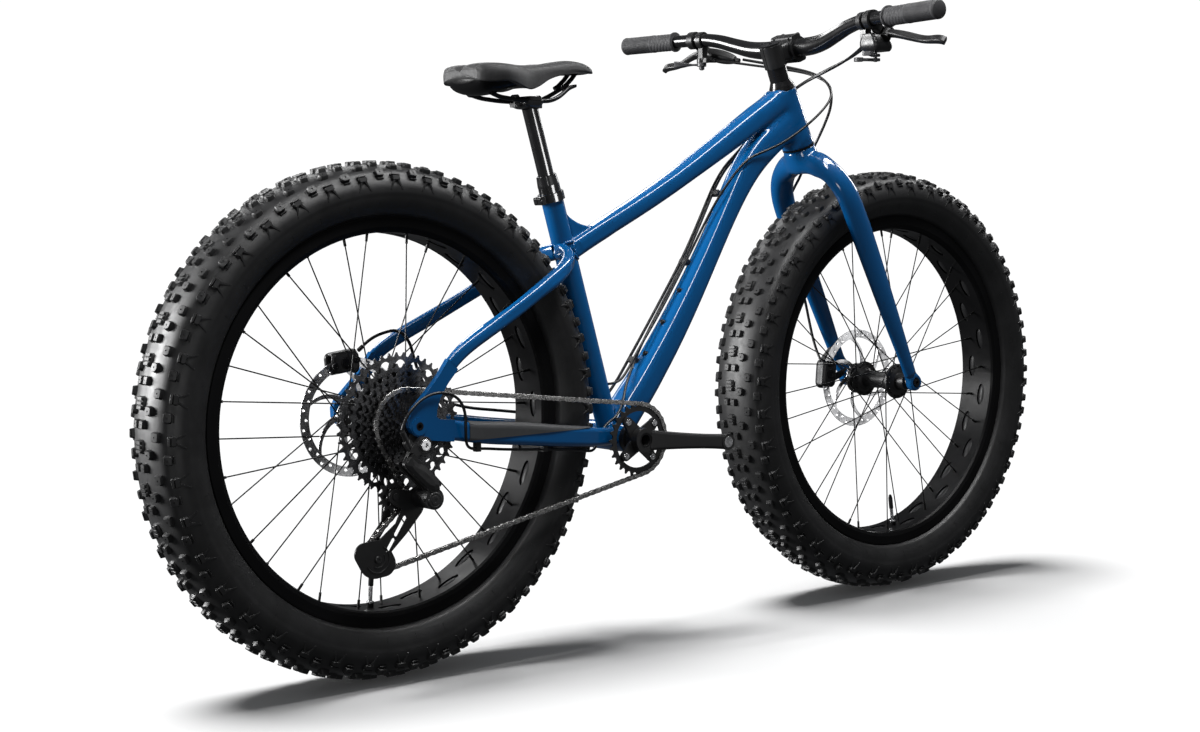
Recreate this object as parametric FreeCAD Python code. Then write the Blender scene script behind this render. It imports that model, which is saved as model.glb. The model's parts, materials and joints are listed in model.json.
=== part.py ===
import FreeCAD, Part
import math
import os

from FreeCAD import Vector

# ----------------------------------------------------------------------------
# Fat tyre mountain bike, millimetres.  +X forward, +Y to the rider's left,
# +Z up, origin on the ground midway between the two axles.
# ----------------------------------------------------------------------------

# driving dimensions -----------------------------------------------------------
TYRE_R = 380.0            # outer radius over the knobs (27.5 x 4.5)
TYRE_HALF_W = 58.5        # widest half width over the shoulder knobs
WHEELBASE = 1084.0
RIM_INNER_R = 276.0
RIM_FLANGE_R = 298.0
RIM_HALF_W = 40.0
SPOKE_R = 1.05
SPOKES = 32
HUB_HOLE_R = 27.0
FRONT_OLD = 150.0         # front hub over lock nuts
REAR_OLD = 197.0          # rear hub over lock nuts
FRONT_AXLE_R = 7.5
REAR_AXLE_R = 6.0
ROTOR_R = 90.0
ROTOR_T = 1.8
FRONT_ROTOR_Y = 57.0
REAR_ROTOR_Y = 72.0
BB_X, BB_Z = -102.0, 325.0
BB_SHELL_HALF = 50.0
CRANK_LENGTH = 165.0
CRANK_ANGLE = -4.8        # right arm, degrees above the forward horizontal
PEDAL_HOLE_R = 7.1        # 9/16 in thread
CHAIN_Y = -71.4
CHAIN_PITCH = 12.7
RING_TEETH = 28
COG_TEETH = [11, 13, 15, 17, 19, 22, 25, 28, 32, 36, 42, 50]
COG_PITCH = 3.6           # spacing of neighbouring sprockets
COG_IN_USE = 6            # the 25 tooth sprocket carries the chain
PULLEY_TEETH = 11
HEAD_TOP = (289.0, 0.0, 898.0)
HEAD_BOTTOM = (328.0, 0.0, 801.0)
SEAT_TOP_Z = 716.0
SEAT_TUBE_R = 17.5
BAR_END_Y = 380.0
DROPPER_TRAVEL = 100.0

OUT = "parts"
os.makedirs(OUT, exist_ok=True)

FA = (WHEELBASE / 2.0, 0.0, TYRE_R)      # front axle
RA = (-WHEELBASE / 2.0, 0.0, TYRE_R)     # rear axle


# helpers ------------------------------------------------------------------------
def V(*a):
    if len(a) == 1:
        a = a[0]
    return Vector(a[0], a[1], a[2])


def unit(a):
    v = V(a)
    v.normalize()
    return v


def cyl(p, d, r, h):
    return Part.makeCylinder(r, h, V(p), V(d))


def cone(p, d, r1, r2, h):
    return Part.makeCone(r1, r2, h, V(p), V(d))


def tube(p, d, ro, ri, h):
    d = unit(d)
    return cyl(p, d, ro, h).cut(cyl(V(p) - d * 1.0, d, ri, h + 2.0))


def ycyl(x, z, y0, y1, r):
    return cyl((x, min(y0, y1), z), (0, 1, 0), r, abs(y1 - y0))


def ytube(x, z, y0, y1, ro, ri):
    return tube((x, min(y0, y1), z), (0, 1, 0), ro, ri, abs(y1 - y0))


def box(x0, x1, y0, y1, z0, z1):
    return Part.makeBox(x1 - x0, y1 - y0, z1 - z0, V(x0, y0, z0))


def fuse(shapes):
    s = shapes[0]
    if len(shapes) > 1:
        s = s.multiFuse(shapes[1:])
    return s.removeSplitter()


def cut(s, tools):
    for t in tools:
        s = s.cut(t)
    return s


def comp(shapes):
    return Part.makeCompound(shapes)


def mirror_y(s):
    return s.mirror(V(0, 0, 0), V(0, 1, 0))


def rr_wire(c, u, v, a, b, r):
    """Rounded rectangle, half sizes a along u and b along v."""
    c, u, v = V(c), unit(u), unit(v)
    r = min(r, a * 0.98, b * 0.98)
    k = r * (1 - math.sqrt(0.5))
    def P(x, y):
        return c + u * x + v * y
    e = []
    e.append(Part.LineSegment(P(-a + r, -b), P(a - r, -b)).toShape())
    e.append(Part.Arc(P(a - r, -b), P(a - k, -b + k), P(a, -b + r)).toShape())
    e.append(Part.LineSegment(P(a, -b + r), P(a, b - r)).toShape())
    e.append(Part.Arc(P(a, b - r), P(a - k, b - k), P(a - r, b)).toShape())
    e.append(Part.LineSegment(P(a - r, b), P(-a + r, b)).toShape())
    e.append(Part.Arc(P(-a + r, b), P(-a + k, b - k), P(-a, b - r)).toShape())
    e.append(Part.LineSegment(P(-a, b - r), P(-a, -b + r)).toShape())
    e.append(Part.Arc(P(-a, -b + r), P(-a + k, -b + k), P(-a + r, -b)).toShape())
    return Part.Wire(e)


def ell_wire(c, u, v, a, b):
    c, u, v = V(c), unit(u), unit(v)
    if abs(a - b) < 1e-6:
        crv = Part.Circle(c, u.cross(v), a)
    else:
        if a < b:
            u, v, a, b = v, u, b, a
        crv = Part.Ellipse(c + u * a, c + v * b, c)
    return Part.Wire([crv.toShape()])


def loft(wires, ruled=False):
    return Part.makeLoft(wires, True, ruled)


def section(c, d, a, b, r, side=(0, 1, 0)):
    """Rounded section normal to d; a is in-plane (normal to d and side), b along side."""
    d = unit(d)
    s = V(side) - d * d.dot(V(side))
    s.normalize()
    n = s.cross(d)
    return rr_wire(c, n, s, a, b, r)


def esection(c, d, a, b, side=(0, 1, 0)):
    d = unit(d)
    s = V(side) - d * d.dot(V(side))
    s.normalize()
    n = s.cross(d)
    return ell_wire(c, n, s, a, b)


def poly_xz(pts, y0, y1):
    vs = [V(x, y0, z) for x, z in pts]
    f = Part.Face(Part.makePolygon(vs + [vs[0]]))
    return f.extrude(V(0, y1 - y0, 0))


def revolve_y(profile, cx, cz):
    """Closed profile of (radius, y) turned about the Y axis through (cx, cz)."""
    vs = [V(cx + r, y, cz) for r, y in profile]
    f = Part.Face(Part.makePolygon(vs + [vs[0]]))
    return f.revolve(V(cx, 0, cz), V(0, 1, 0), 360)


def hull_xz(circles, y0, y1):
    """Plate wrapped round a chain of circles (x, z, r), each pair joined by tangents."""
    parts = []
    for x, z, r in circles:
        parts.append(ycyl(x, z, y0, y1, r))
    for (x0, z0, r0), (x1, z1, r1) in zip(circles[:-1], circles[1:]):
        dx, dz = x1 - x0, z1 - z0
        L = math.hypot(dx, dz)
        if L < 1e-6 or L <= abs(r0 - r1):
            continue
        ux, uz = dx / L, dz / L
        s = (r0 - r1) / L
        c = math.sqrt(max(0.0, 1 - s * s))
        n1 = (ux * s - uz * c, uz * s + ux * c)
        n2 = (ux * s + uz * c, uz * s - ux * c)
        parts.append(poly_xz([(x0 + n1[0] * r0, z0 + n1[1] * r0),
                              (x1 + n1[0] * r1, z1 + n1[1] * r1),
                              (x1 + n2[0] * r1, z1 + n2[1] * r1),
                              (x0 + n2[0] * r0, z0 + n2[1] * r0)], y0, y1))
    return fuse(parts)


def route_wire(pts):
    """Straight runs joined by the largest tangent arcs that the runs allow."""
    P = [V(p) for p in pts]
    edges, cur, radii = [], P[0], []
    for i in range(1, len(P) - 1):
        a, b = P[i] - P[i - 1], P[i + 1] - P[i]
        t = 0.45 * min(a.Length, b.Length)
        ua, ub = unit(a), unit(b)
        turn = ua.getAngle(ub)
        if turn < 0.004:
            continue
        R = t / math.tan(turn / 2)
        radii.append(R)
        p0, p1 = P[i] - ua * t, P[i] + ub * t
        bis = unit(ub - ua)
        mid = P[i] + bis * (R / math.cos(turn / 2) - R)
        if (p0 - cur).Length > 1e-4:
            edges.append(Part.LineSegment(cur, p0).toShape())
        edges.append(Part.Arc(p0, mid, p1).toShape())
        cur = p1
    edges.append(Part.LineSegment(cur, P[-1]).toShape())
    return Part.Wire(edges), radii


def hose(name, pts, r):
    w, radii = route_wire(pts)
    d = unit(V(pts[1]) - V(pts[0]))
    prof = Part.Wire([Part.Circle(V(pts[0]), d, r).toShape()])
    s = w.makePipeShell([prof], True, False)
    if s.Volume < 0:
        s.reverse()
    want = math.pi * r * r * w.Length
    print("%s length %.0f volume ratio %.3f radii %s" % (
        name, w.Length, s.Volume / want, " ".join("%.0f" % q for q in radii)))
    return s


NODES = {}


def put(name, shape):
    NODES[name] = shape


# frame axes ---------------------------------------------------------------------
STEER = unit(V(HEAD_TOP) - V(HEAD_BOTTOM))               # up along the steering axis
HEAD_LEN = (V(HEAD_TOP) - V(HEAD_BOTTOM)).Length


def st(s, off=0.0):
    """Point on the steering axis, s above the top of the head tube."""
    return V(HEAD_TOP) + STEER * s


SEAT_D = unit((-117.0, 0.0, 388.0))                      # up along the seat tube
BB = V(BB_X, 0, BB_Z)


def seat_at(z):
    return BB + SEAT_D * ((z - BB_Z) / SEAT_D.z)


SEAT_TOP = seat_at(SEAT_TOP_Z)

# head tube -----------------------------------------------------------------------
head_outer = cone(HEAD_BOTTOM, STEER, 28.5, 23.5, HEAD_LEN)
head_long = cone(V(HEAD_BOTTOM) - STEER * 60, STEER, 28.5 + 60 * 5 / HEAD_LEN,
                 23.5 - 60 * 5 / HEAD_LEN, HEAD_LEN + 120)
head_tube = cut(head_outer, [cyl(V(HEAD_BOTTOM) - STEER, STEER, 21.0, HEAD_LEN + 2),
                             cyl(V(HEAD_BOTTOM) - STEER, STEER, 25.0, 26.0)])
put("head_tube", head_tube)

# bottom bracket shell and seat tube --------------------------------------------------
BB_RO = 23.0
bb_solid = ycyl(BB_X, BB_Z, -BB_SHELL_HALF, BB_SHELL_HALF, BB_RO)
put("bottom_bracket_shell", ytube(BB_X, BB_Z, -BB_SHELL_HALF, BB_SHELL_HALF, BB_RO, 20.0))

seat_len = (SEAT_TOP - BB).Length
seat_outer = cyl(BB, SEAT_D, SEAT_TUBE_R, seat_len)
seat_tube = cut(seat_outer, [cyl(BB, SEAT_D, 15.9, seat_len + 1), bb_solid])
put("seat_tube", seat_tube)
seat_long = cyl(BB, SEAT_D, SEAT_TUBE_R, seat_len + 40)

# down tube -------------------------------------------------------------------------
DT = [((-90, 340), (0.57, 0.82), 25.0, 27.0),
      ((-19.5, 424), (0.57, 0.82), 23.5, 25.0),
      ((87.5, 577), (0.54, 0.84), 19.5, 21.0),
      ((172, 716), (0.53, 0.85), 20.0, 20.5),
      ((213, 772), (0.66, 0.75), 24.0, 21.5),
      ((258, 811), (0.80, 0.60), 26.0, 22.5),
      ((312, 845), (0.87, 0.49), 27.0, 23.0)]


def tube_loft(secs, wall, rk=0.62):
    o, i = [], []
    for (x, z), (dx, dz), a, b in secs:
        o.append(section((x, 0, z), (dx, 0, dz), a, b, rk * min(a, b)))
        i.append(section((x, 0, z), (dx, 0, dz), a - wall, b - wall, rk * min(a, b) - wall))
    return loft(o), loft(i)


dt_o, dt_i = tube_loft(DT, 1.8)
down_tube = cut(dt_o, [dt_i, head_long, bb_solid, seat_long])
down_tube = max(down_tube.Solids, key=lambda s: s.Volume)
put("down_tube", down_tube)

# top tube with the brace at the seat cluster -------------------------------------------
TT = [((-188, 622), (0.885, 0.465), 15.5, 16.0),
      ((-148, 643), (0.885, 0.465), 15.0, 16.0),
      ((-15, 709), (0.88, 0.475), 15.3, 17.5),
      ((73, 757), (0.87, 0.49), 16.0, 18.5),
      ((185, 822.5), (0.85, 0.53), 19.5, 19.5),
      ((262, 869), (0.85, 0.53), 20.5, 21.0),
      ((300, 892), (0.85, 0.53), 20.5, 21.0)]
tt_o, tt_i = tube_loft(TT, 1.6)
top_tube = cut(tt_o, [tt_i, head_long, seat_long, dt_o])
top_tube = max(top_tube.Solids, key=lambda s: s.Volume)
# curved brace plate between the seat tube and the top tube
brace_face = Part.Face(Part.Wire([
    Part.LineSegment(V(-206, -7, 640), V(-206, -7, 700)).toShape(),
    Part.Arc(V(-206, -7, 700), V(-166, -7, 668), V(-100, -7, 676)).toShape(),
    Part.LineSegment(V(-100, -7, 676), V(-100, -7, 640)).toShape(),
    Part.LineSegment(V(-100, -7, 640), V(-206, -7, 640)).toShape()]))
brace = cut(brace_face.extrude(V(0, 14, 0)), [seat_long, tt_o])
brace = max([s for s in brace.Solids if s.BoundBox.ZMax > 680], key=lambda s: s.Volume)
top_tube = fuse([top_tube, brace])
put("top_tube", top_tube)

# chain stays with their dropouts ---------------------------------------------------------
DROP_IN = REAR_OLD / 2 + 0.2
DROP_OUT = 108.5
CS = [((-506, -103.6, 374), (1, 0.02, -0.15), 15.0, 4.7),
      ((-486, -102.5, 370.5), (1, 0.10, -0.15), 14.8, 5.6),
      ((-462, -98, 366.5), (1, 0.16, -0.13), 14.8, 8.0),
      ((-431, -93, 361.5), (1, 0.12, -0.12), 15.3, 9.0),
      ((-380, -89, 356), (1, 0.08, -0.11), 16.5, 9.3),
      ((-300, -83, 347), (1, 0.09, -0.10), 16.2, 9.3),
      ((-222, -76, 338.5), (1, 0.20, -0.09), 15.2, 8.6),
      ((-176, -63.5, 334), (1, 0.36, -0.08), 14.5, 7.6),
      ((-138, -47, 331), (1, 0.44, -0.06), 14.0, 7.6),
      ((-106, -33, 329), (1, 0.42, -0.03), 14.0, 7.8)]


def stay_loft(secs, wall):
    o, i = [], []
    for c, d, a, b in secs:
        o.append(section(c, d, a, b, 0.85 * min(a, b)))
        i.append(section(c, d, a - wall, b - wall, 0.85 * min(a, b) - wall))
    return loft(o), loft(i)


cs_o, cs_i = stay_loft(CS[1:], 1.6)
# forged dropout: hooded plate round the axle with a leg up to the seat stay
drop_pts = [(-490, 474), (-506, 452), (-522, 434), (-553, 404), (-559, 393), (-558.5, 379),
            (-552, 368.5), (-541, 362.5), (-520, 358), (-482, 353.5), (-480, 385),
            (-505, 387.5), (-512, 391), (-511, 402), (-505, 419), (-492, 438), (-474, 458)]
drop = poly_xz(drop_pts, -DROP_OUT, -DROP_IN)
drop = fuse([drop, ycyl(RA[0], RA[2], -DROP_OUT - 1.4, -DROP_IN, 13.0)])
drop = drop.cut(ycyl(RA[0], RA[2], -130, -90, REAR_AXLE_R + 0.15))
drop_solid = fuse([drop, ycyl(RA[0], RA[2], -DROP_OUT - 1.4, -DROP_IN, 10.0)])
stay_cs = cut(cs_o, [cs_i, drop_solid, bb_solid])
stay_cs = max(stay_cs.Solids, key=lambda s: s.Volume)
chainstay = fuse([stay_cs, drop])
put("chainstays", comp([chainstay, mirror_y(chainstay)]))

# seat stays ------------------------------------------------------------------------------
SS = [((-492, -103.6, 455), (0.66, 0.0, 0.75), 9.8, 4.7),
      ((-476, -102.6, 472), (0.74, 0.10, 0.66), 10.2, 6.4),
      ((-452, -99.5, 489), (0.87, 0.13, 0.49), 10.5, 9.0),
      ((-400, -93, 516), (0.88, 0.13, 0.46), 11.0, 9.5),
      ((-300, -79, 568), (0.88, 0.14, 0.46), 11.3, 9.5),
      ((-256, -70, 592), (0.85, 0.28, 0.46), 11.8, 9.5),
      ((-230, -55, 607), (0.72, 0.58, 0.40), 12.3, 10.0),
      ((-214, -34, 617), (0.50, 0.83, 0.28), 13.0, 10.5),
      ((-205, -6, 624), (0.30, 0.94, 0.22), 13.5, 11.0)]
ss_o, ss_i = [], []
for c, d, a, b in SS:
    ss_o.append(section(c, d, a, b, 0.88 * min(a, b), side=(0.0, 1, 0) if abs(d[1]) < 0.5 else (-0.8, 0.6, 0)))
    ss_i.append(section(c, d, a - 1.5, b - 1.5, 0.88 * min(a, b) - 1.5,
                        side=(0.0, 1, 0) if abs(d[1]) < 0.5 else (-0.8, 0.6, 0)))
ss_o, ss_i = loft(ss_o), loft(ss_i)
# the stay starts at the plane where the dropout's leg ends
leg_end = Part.makeBox(200, 200, 200, V(-200, -100, -100))
leg_end.Placement = FreeCAD.Placement(V(-481.95, -102, 466.05), FreeCAD.Rotation(V(0, 1, 0), -45))
seatstay = cut(ss_o, [ss_i, seat_long, leg_end, box(-600, -150, -0.05, 60, 300, 800)])
seatstay = max(seatstay.Solids, key=lambda s: s.Volume)
put("seatstays", comp([seatstay, mirror_y(seatstay)]))

# headset ---------------------------------------------------------------------------------
up_cup = fuse([cut(cone(st(0), STEER, 23.4, 21.5, 7.0), [cyl(st(-1), STEER, 17.2, 10)]),
               tube(st(-12), STEER, 20.9, 17.2, 12.5)])
up_brg = tube(st(-7), STEER, 17.1, 14.6, 13.0)
low_cup = fuse([tube(V(HEAD_BOTTOM) - STEER * 2.2, STEER, 28.2, 20.4 + 2.4, 2.2),
                tube(V(HEAD_BOTTOM) - STEER * 2.2, STEER, 24.9, 22.8, 16.0)])
low_brg = tube(V(HEAD_BOTTOM) + STEER * 2.0, STEER, 22.7, 20.3, 10.0)
put("headset_cups", comp([up_cup, up_brg, low_cup, low_brg]))

# bottom bracket cups and bearings -----------------------------------------------------------
cups = []
for s in (-1, 1):
    cups.append(fuse([ytube(BB_X, BB_Z, s * 50.0, s * 60.5, 22.0, 18.6),
                      ytube(BB_X, BB_Z, s * 38.0, s * 50.5, 19.9, 18.6)]))
    cups.append(ytube(BB_X, BB_Z, s * 52.0, s * 59.8, 18.5, 12.2))
put("bottom_bracket_cups", comp(cups))

# seat clamp --------------------------------------------------------------------------------
cl_p = SEAT_TOP - SEAT_D * 13.0
clamp = tube(cl_p, SEAT_D, 20.8, SEAT_TUBE_R + 0.05, 13.0)
side = unit(V(1, 0, 0) - SEAT_D * SEAT_D.x)
lug_c = cl_p + SEAT_D * 6.5 - side * 23.0
lug = cut(loft([rr_wire(lug_c + V(0, -9, 0), side, SEAT_D, 6.0, 6.4, 3.0),
                rr_wire(lug_c + V(0, 9, 0), side, SEAT_D, 6.0, 6.4, 3.0)]),
          [cyl(cl_p - SEAT_D, SEAT_D, SEAT_TUBE_R + 0.05, 15)])
slot_c = cl_p + SEAT_D * 6.5 - side * 24.0
slot = Part.makeBox(30, 1.6, 40, V(-15, -0.8, -20))
slot.Placement = FreeCAD.Placement(slot_c - side * 2, FreeCAD.Rotation(V(0, 0, 1), SEAT_D))
clamp = cut(fuse([clamp, lug]), [slot])
clamp_bolt = fuse([cyl(lug_c + V(0, -12.4, 0) - side * 1.5, (0, 1, 0), 4.2, 3.3)])
put("seat_clamp", comp([max(clamp.Solids, key=lambda s: s.Volume), clamp_bolt]))

# dropper post, fixed outer tube --------------------------------------------------------------
col_top = seat_at(743.0)
outer_bottom = col_top - SEAT_D * 285.0
dropper_outer = fuse([cyl(outer_bottom, SEAT_D, 15.8, 285.0 - 26.0),
                      cyl(SEAT_TOP + SEAT_D * 0.3, SEAT_D, 17.4, 13.0),
                      cone(SEAT_TOP + SEAT_D * 13.3, SEAT_D, 17.4, 15.9,
                           (col_top - SEAT_TOP).Length - 13.3)])
groove = [tube(SEAT_TOP + SEAT_D * (3.0 + 2.2 * k), SEAT_D, 19.0, 16.9, 1.0) for k in range(4)]
dropper_outer = cut(dropper_outer, [cyl(outer_bottom + SEAT_D * 6.0, SEAT_D, 12.8, 300.0)] + groove)
put("dropper_outer_tube", dropper_outer)

# dropper stanchion with the saddle clamp head ------------------------------------------------
head_c = seat_at(846.0)
stan_bottom = col_top - SEAT_D * 150.0
stan = cyl(stan_bottom, SEAT_D, 12.5, (head_c - stan_bottom).Length)
HX, HZ = -266.0, 856.0          # where the rails cross the clamp
post_head = fuse([stan, loft([rr_wire((-263.5, 0, 844.0), (1, 0, 0), (0, 1, 0), 13.3, 13.5, 9),
                              rr_wire((HX, 0, 850), (1, 0, 0), (0, 1, 0), 17, 24, 8),
                              rr_wire((HX, 0, 855.6), (1, 0, 0), (0, 1, 0), 17, 27, 6)])])
rail_y = 22.0
groove_r = 3.62
grooves = [cyl((HX - 40, s * rail_y, HZ), (1, 0, 0), groove_r, 80) for s in (-1, 1)]
post_head = cut(post_head, grooves)
yoke = cut(fuse([loft([rr_wire((HX, 0, 856.4), (1, 0, 0), (0, 1, 0), 15, 27, 6),
                       rr_wire((HX, 0, 862.5), (1, 0, 0), (0, 1, 0), 13, 26, 6)])]), grooves)
post_bolts = [cyl((HX + s * 21.0, 0, 844.6), (0, 0, 1), 2.5, 17.4) for s in (-1, 1)]
post_nuts = [cyl((HX + s * 21.0, -6, 861.5), (0, 1, 0), 4.2, 12.0) for s in (-1, 1)]
post_lugs = [cut(box(HX + s * 21 - 5, HX + s * 21 + 5, -7, 7, 846, 853), [cyl((HX + s * 21.0, 0, 830), (0, 0, 1), 2.7, 40)])
             for s in (-1, 1)]
post_head = fuse([post_head] + post_lugs)
put("dropper_stanchion", comp([post_head, yoke] + post_bolts + post_nuts))

# saddle ----------------------------------------------------------------------------------------
SAD = [(-140, 11, 914.5, 899), (-158, 18, 920.5, 894), (-190, 22, 921.5, 889), (-240, 27, 914, 884),
       (-290, 43, 909.5, 879), (-338, 63, 907.5, 876), (-376, 71.5, 907, 876), (-395, 62, 904, 881)]
cover = loft([rr_wire((x, 0, (t + b) / 2), (0, 1, 0), (0, 0, 1), w, (t - b) / 2, (t - b) / 2 * 0.8)
              for x, w, t, b in SAD])
put("saddle_cover", cover)
shell = loft([rr_wire((x + (1 if x < -380 else 0), 0, b - 3.4), (0, 1, 0), (0, 0, 1), w - 4, 2.0, 1.9)
              for x, w, t, b in SAD[1:]])
put("saddle_shell", shell)
rails = []
for s in (-1, 1):
    rails.append(hose("saddle rail", [(-176, s * 9, 884.0), (-190, s * 10, 879), (-214, s * 17, 864), (-238, s * rail_y, HZ),
                                      (-300, s * rail_y, HZ), (-334, s * 24, 859), (-352, s * 27.5, 864),
                                      (-366, s * 30, 870.5)], 3.5))
put("saddle_rails", comp([max(cut(r, [shell]).Solids, key=lambda k: k.Volume) for r in rails]))

# rear axle, derailleur hanger, bolts --------------------------------------------------------------
rear_axle = fuse([ycyl(RA[0], RA[2], -110.0, 112.0, REAR_AXLE_R), ycyl(RA[0], RA[2], 110.0, 115.0, 9.5)])
rear_axle = cut(rear_axle, [ycyl(RA[0], RA[2], -111, -100, 3.0), ycyl(RA[0], RA[2], 105, 116, 3.0)])
put("rear_axle", rear_axle)

HB = (-540.0, 354.0)                # hanger bolt
hanger = hull_xz([(-514, 362, 9), (HB[0], HB[1] + 2, 13), (-550, 364, 7)], -106.4, -99.4)
hanger = fuse([hanger, ycyl(HB[0], HB[1], -110.1, -99.4, 10.5)])
hanger = cut(hanger, [drop_solid, ycyl(HB[0], HB[1], -130, -90, 5.2)])
hanger = max(hanger.Solids, key=lambda s: s.Volume)
put("derailleur_hanger", hanger)

# chain stay guard: sleeve over the right stay ------------------------------------------------------
g_o = loft([section(c, d, a + 1.5, b + 1.5, 0.85 * min(a, b) + 1.5) for c, d, a, b in CS[2:8]])
guard = cut(g_o, [cs_o, box(-455, -180, -140, -20, 300, 352), box(-600, -452, -140, -20, 300, 420),
                  box(-205, -100, -140, -20, 300, 420)])
guard = max(guard.Solids, key=lambda s: s.Volume)
put("chainstay_guard", guard)

# wheels ---------------------------------------------------------------------------------------------
RIM = [(RIM_INNER_R, -33.5), (RIM_INNER_R, 33.5), (278.5, 37.0), (284.0, RIM_HALF_W), (RIM_FLANGE_R, RIM_HALF_W),
       (RIM_FLANGE_R, 37.2), (291.0, 36.4), (288.0, 36.0), (287.0, 30.0), (281.0, 26.0), (279.2, 20.0),
       (279.2, -20.0), (281.0, -26.0), (287.0, -30.0), (288.0, -36.0), (291.0, -36.4), (RIM_FLANGE_R, -37.2),
       (RIM_FLANGE_R, -RIM_HALF_W), (284.0, -RIM_HALF_W), (278.5, -37.0)]
TY_OUT = [(288.4, 35.6), (299.0, 36.6), (301.0, 42.5), (308.0, 49.5), (320.0, 55.5), (333.0, 58.0),
          (344.0, 58.5), (356.0, 56.5), (365.5, 51.0), (372.0, 42.0), (377.0, 28.0), (380.0, 13.0)]
TY_IN = [(288.4, 30.6), (299.0, 32.6), (307.0, 44.0), (319.0, 51.5), (333.0, 54.5), (345.0, 54.0),
         (355.0, 50.5), (362.5, 44.0), (368.0, 32.0), (371.5, 13.0)]
TYRE = TY_OUT + [(r, -y) for r, y in reversed(TY_OUT)] + [(r, -y) for r, y in TY_IN] + \
    [(r, y) for r, y in reversed(TY_IN)]


def wheel(prefix, c, fl_l, fl_r, spoke_y, rot0):
    cx, cz = c[0], c[2]
    put(prefix + "_tyre", revolve_y(TYRE, cx, cz))
    rim = revolve_y(RIM, cx, cz)
    # weight saving cut-outs between the spoke holes, two staggered rows
    cutters = []
    for k in range(SPOKES):
        a = math.radians(rot0 + (k + 0.5) * 360.0 / SPOKES)
        ysgn = 1 if k % 2 else -1
        e = V(math.cos(a), 0, math.sin(a))
        t = V(-math.sin(a), 0, math.cos(a))
        p = V(cx, ysgn * 12.0, cz) + e * (RIM_INNER_R - 4)
        cutters.append(Part.Face(ell_wire(p, t, (0, 1, 0), 20.0, 8.0)).extrude(e * 10.0))
    rim = rim.cut(comp(cutters))
    # valve, in its own hole at one cut-out free place
    va = math.radians(rot0 + 0.0)
    e = V(math.cos(va), 0, math.sin(va))
    rim = rim.cut(cyl(V(cx, 0, cz) + e * 270, e, 4.2, 20))
    pv = V(cx, 0, cz)
    valve = fuse([cyl(pv + e * 243, e, 3.0, 40.0), cyl(pv + e * 268.5, e, 5.6, 7.3),
                  cone(pv + e * 218, e, 2.2, 3.8, 6.0), cyl(pv + e * 224, e, 3.8, 20.0)])
    put(prefix + "_rim", comp([rim, valve]))
    sp, holes = [], []
    for side_s, fy in ((1, fl_l), (-1, fl_r)):
        for k in range(SPOKES // 2):
            th = rot0 + 5.625 + k * 22.5 + (0 if side_s > 0 else 11.25)
            lead = 1 if k % 2 == 0 else -1
            tr = th + lead * 67.5
            yo = fy + lead * 5.2
            p0 = V(cx + HUB_HOLE_R * math.cos(math.radians(th)), yo, cz + HUB_HOLE_R * math.sin(math.radians(th)))
            p1 = V(cx + (RIM_INNER_R - 0.25) * math.cos(math.radians(tr)), side_s * spoke_y,
                   cz + (RIM_INNER_R - 0.25) * math.sin(math.radians(tr)))
            d = p1 - p0
            L = d.Length
            d.normalize()
            sp.append(fuse([cyl(p0, d, SPOKE_R, L - 1.0), cyl(p1 - d * 13.0, d, 2.1, 12.9),
                            cyl((p0.x, fy - 5.9, p0.z), (0, 1, 0), SPOKE_R + 0.05, 11.8)]))
            holes.append(cyl((p0.x, fy - 8, p0.z), (0, 1, 0), 1.45, 16.0))
    trim = revolve_y([(RIM_INNER_R - 0.1, -60), (RIM_INNER_R - 0.1, 60), (330, 60), (330, -60)], cx, cz)
    put(prefix + "_spokes", comp([s.cut(trim) for s in sp]))
    return holes


def disc_rotor(prefix, c, y, bolts_y):
    cx, cz = c[0], c[2]
    t = ROTOR_T
    ring = ytube(cx, cz, y - t / 2, y + t / 2, ROTOR_R, ROTOR_R - 15.0)
    vents = []
    for k in range(36):
        a = math.radians(k * 10.0)
        rr = ROTOR_R - (4.6 if k % 2 else 10.0)
        vents.append(ycyl(cx + rr * math.cos(a), cz + rr * math.sin(a), y - 3, y + 3, 2.3))
    scal = []
    ring = ring.cut(comp(vents + scal))
    arms = []
    for k in range(6):
        a0 = math.radians(k * 60.0)
        pts = []
        n = 7
        for i in range(n + 1):
            r = 24.0 + (77.0 - 24.0) * i / n
            a = a0 + math.radians(42.0) * (i / n) ** 1.15
            pts.append((r, a))
        w = 4.2
        left = [(cx + r * math.cos(a + w / r), cz + r * math.sin(a + w / r)) for r, a in pts]
        right = [(cx + r * math.cos(a - w / r), cz + r * math.sin(a - w / r)) for r, a in reversed(pts)]
        arms.append(poly_xz(left + right, y - t / 2, y + t / 2))
    centre = ytube(cx, cz, y - t / 2, y + t / 2, 28.0, 18.0)
    bolts, bh = [], []
    for k in range(6):
        a = math.radians(k * 60.0 + 20.0)
        bx, bz = cx + 22.0 * math.cos(a), cz + 22.0 * math.sin(a)
        bh.append(ycyl(bx, bz, y - 3, y + 3, 2.7))
        bolts.append(fuse([ycyl(bx, bz, y - 0.9, y + t / 2 + 0.05, 2.55), ycyl(bx, bz, y + t / 2, y + t / 2 + 2.6, 4.2)]))
    rotor = fuse([ring, centre] + arms).cut(comp(bh))
    put(prefix + "_rotor", comp([rotor] + bolts))


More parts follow.
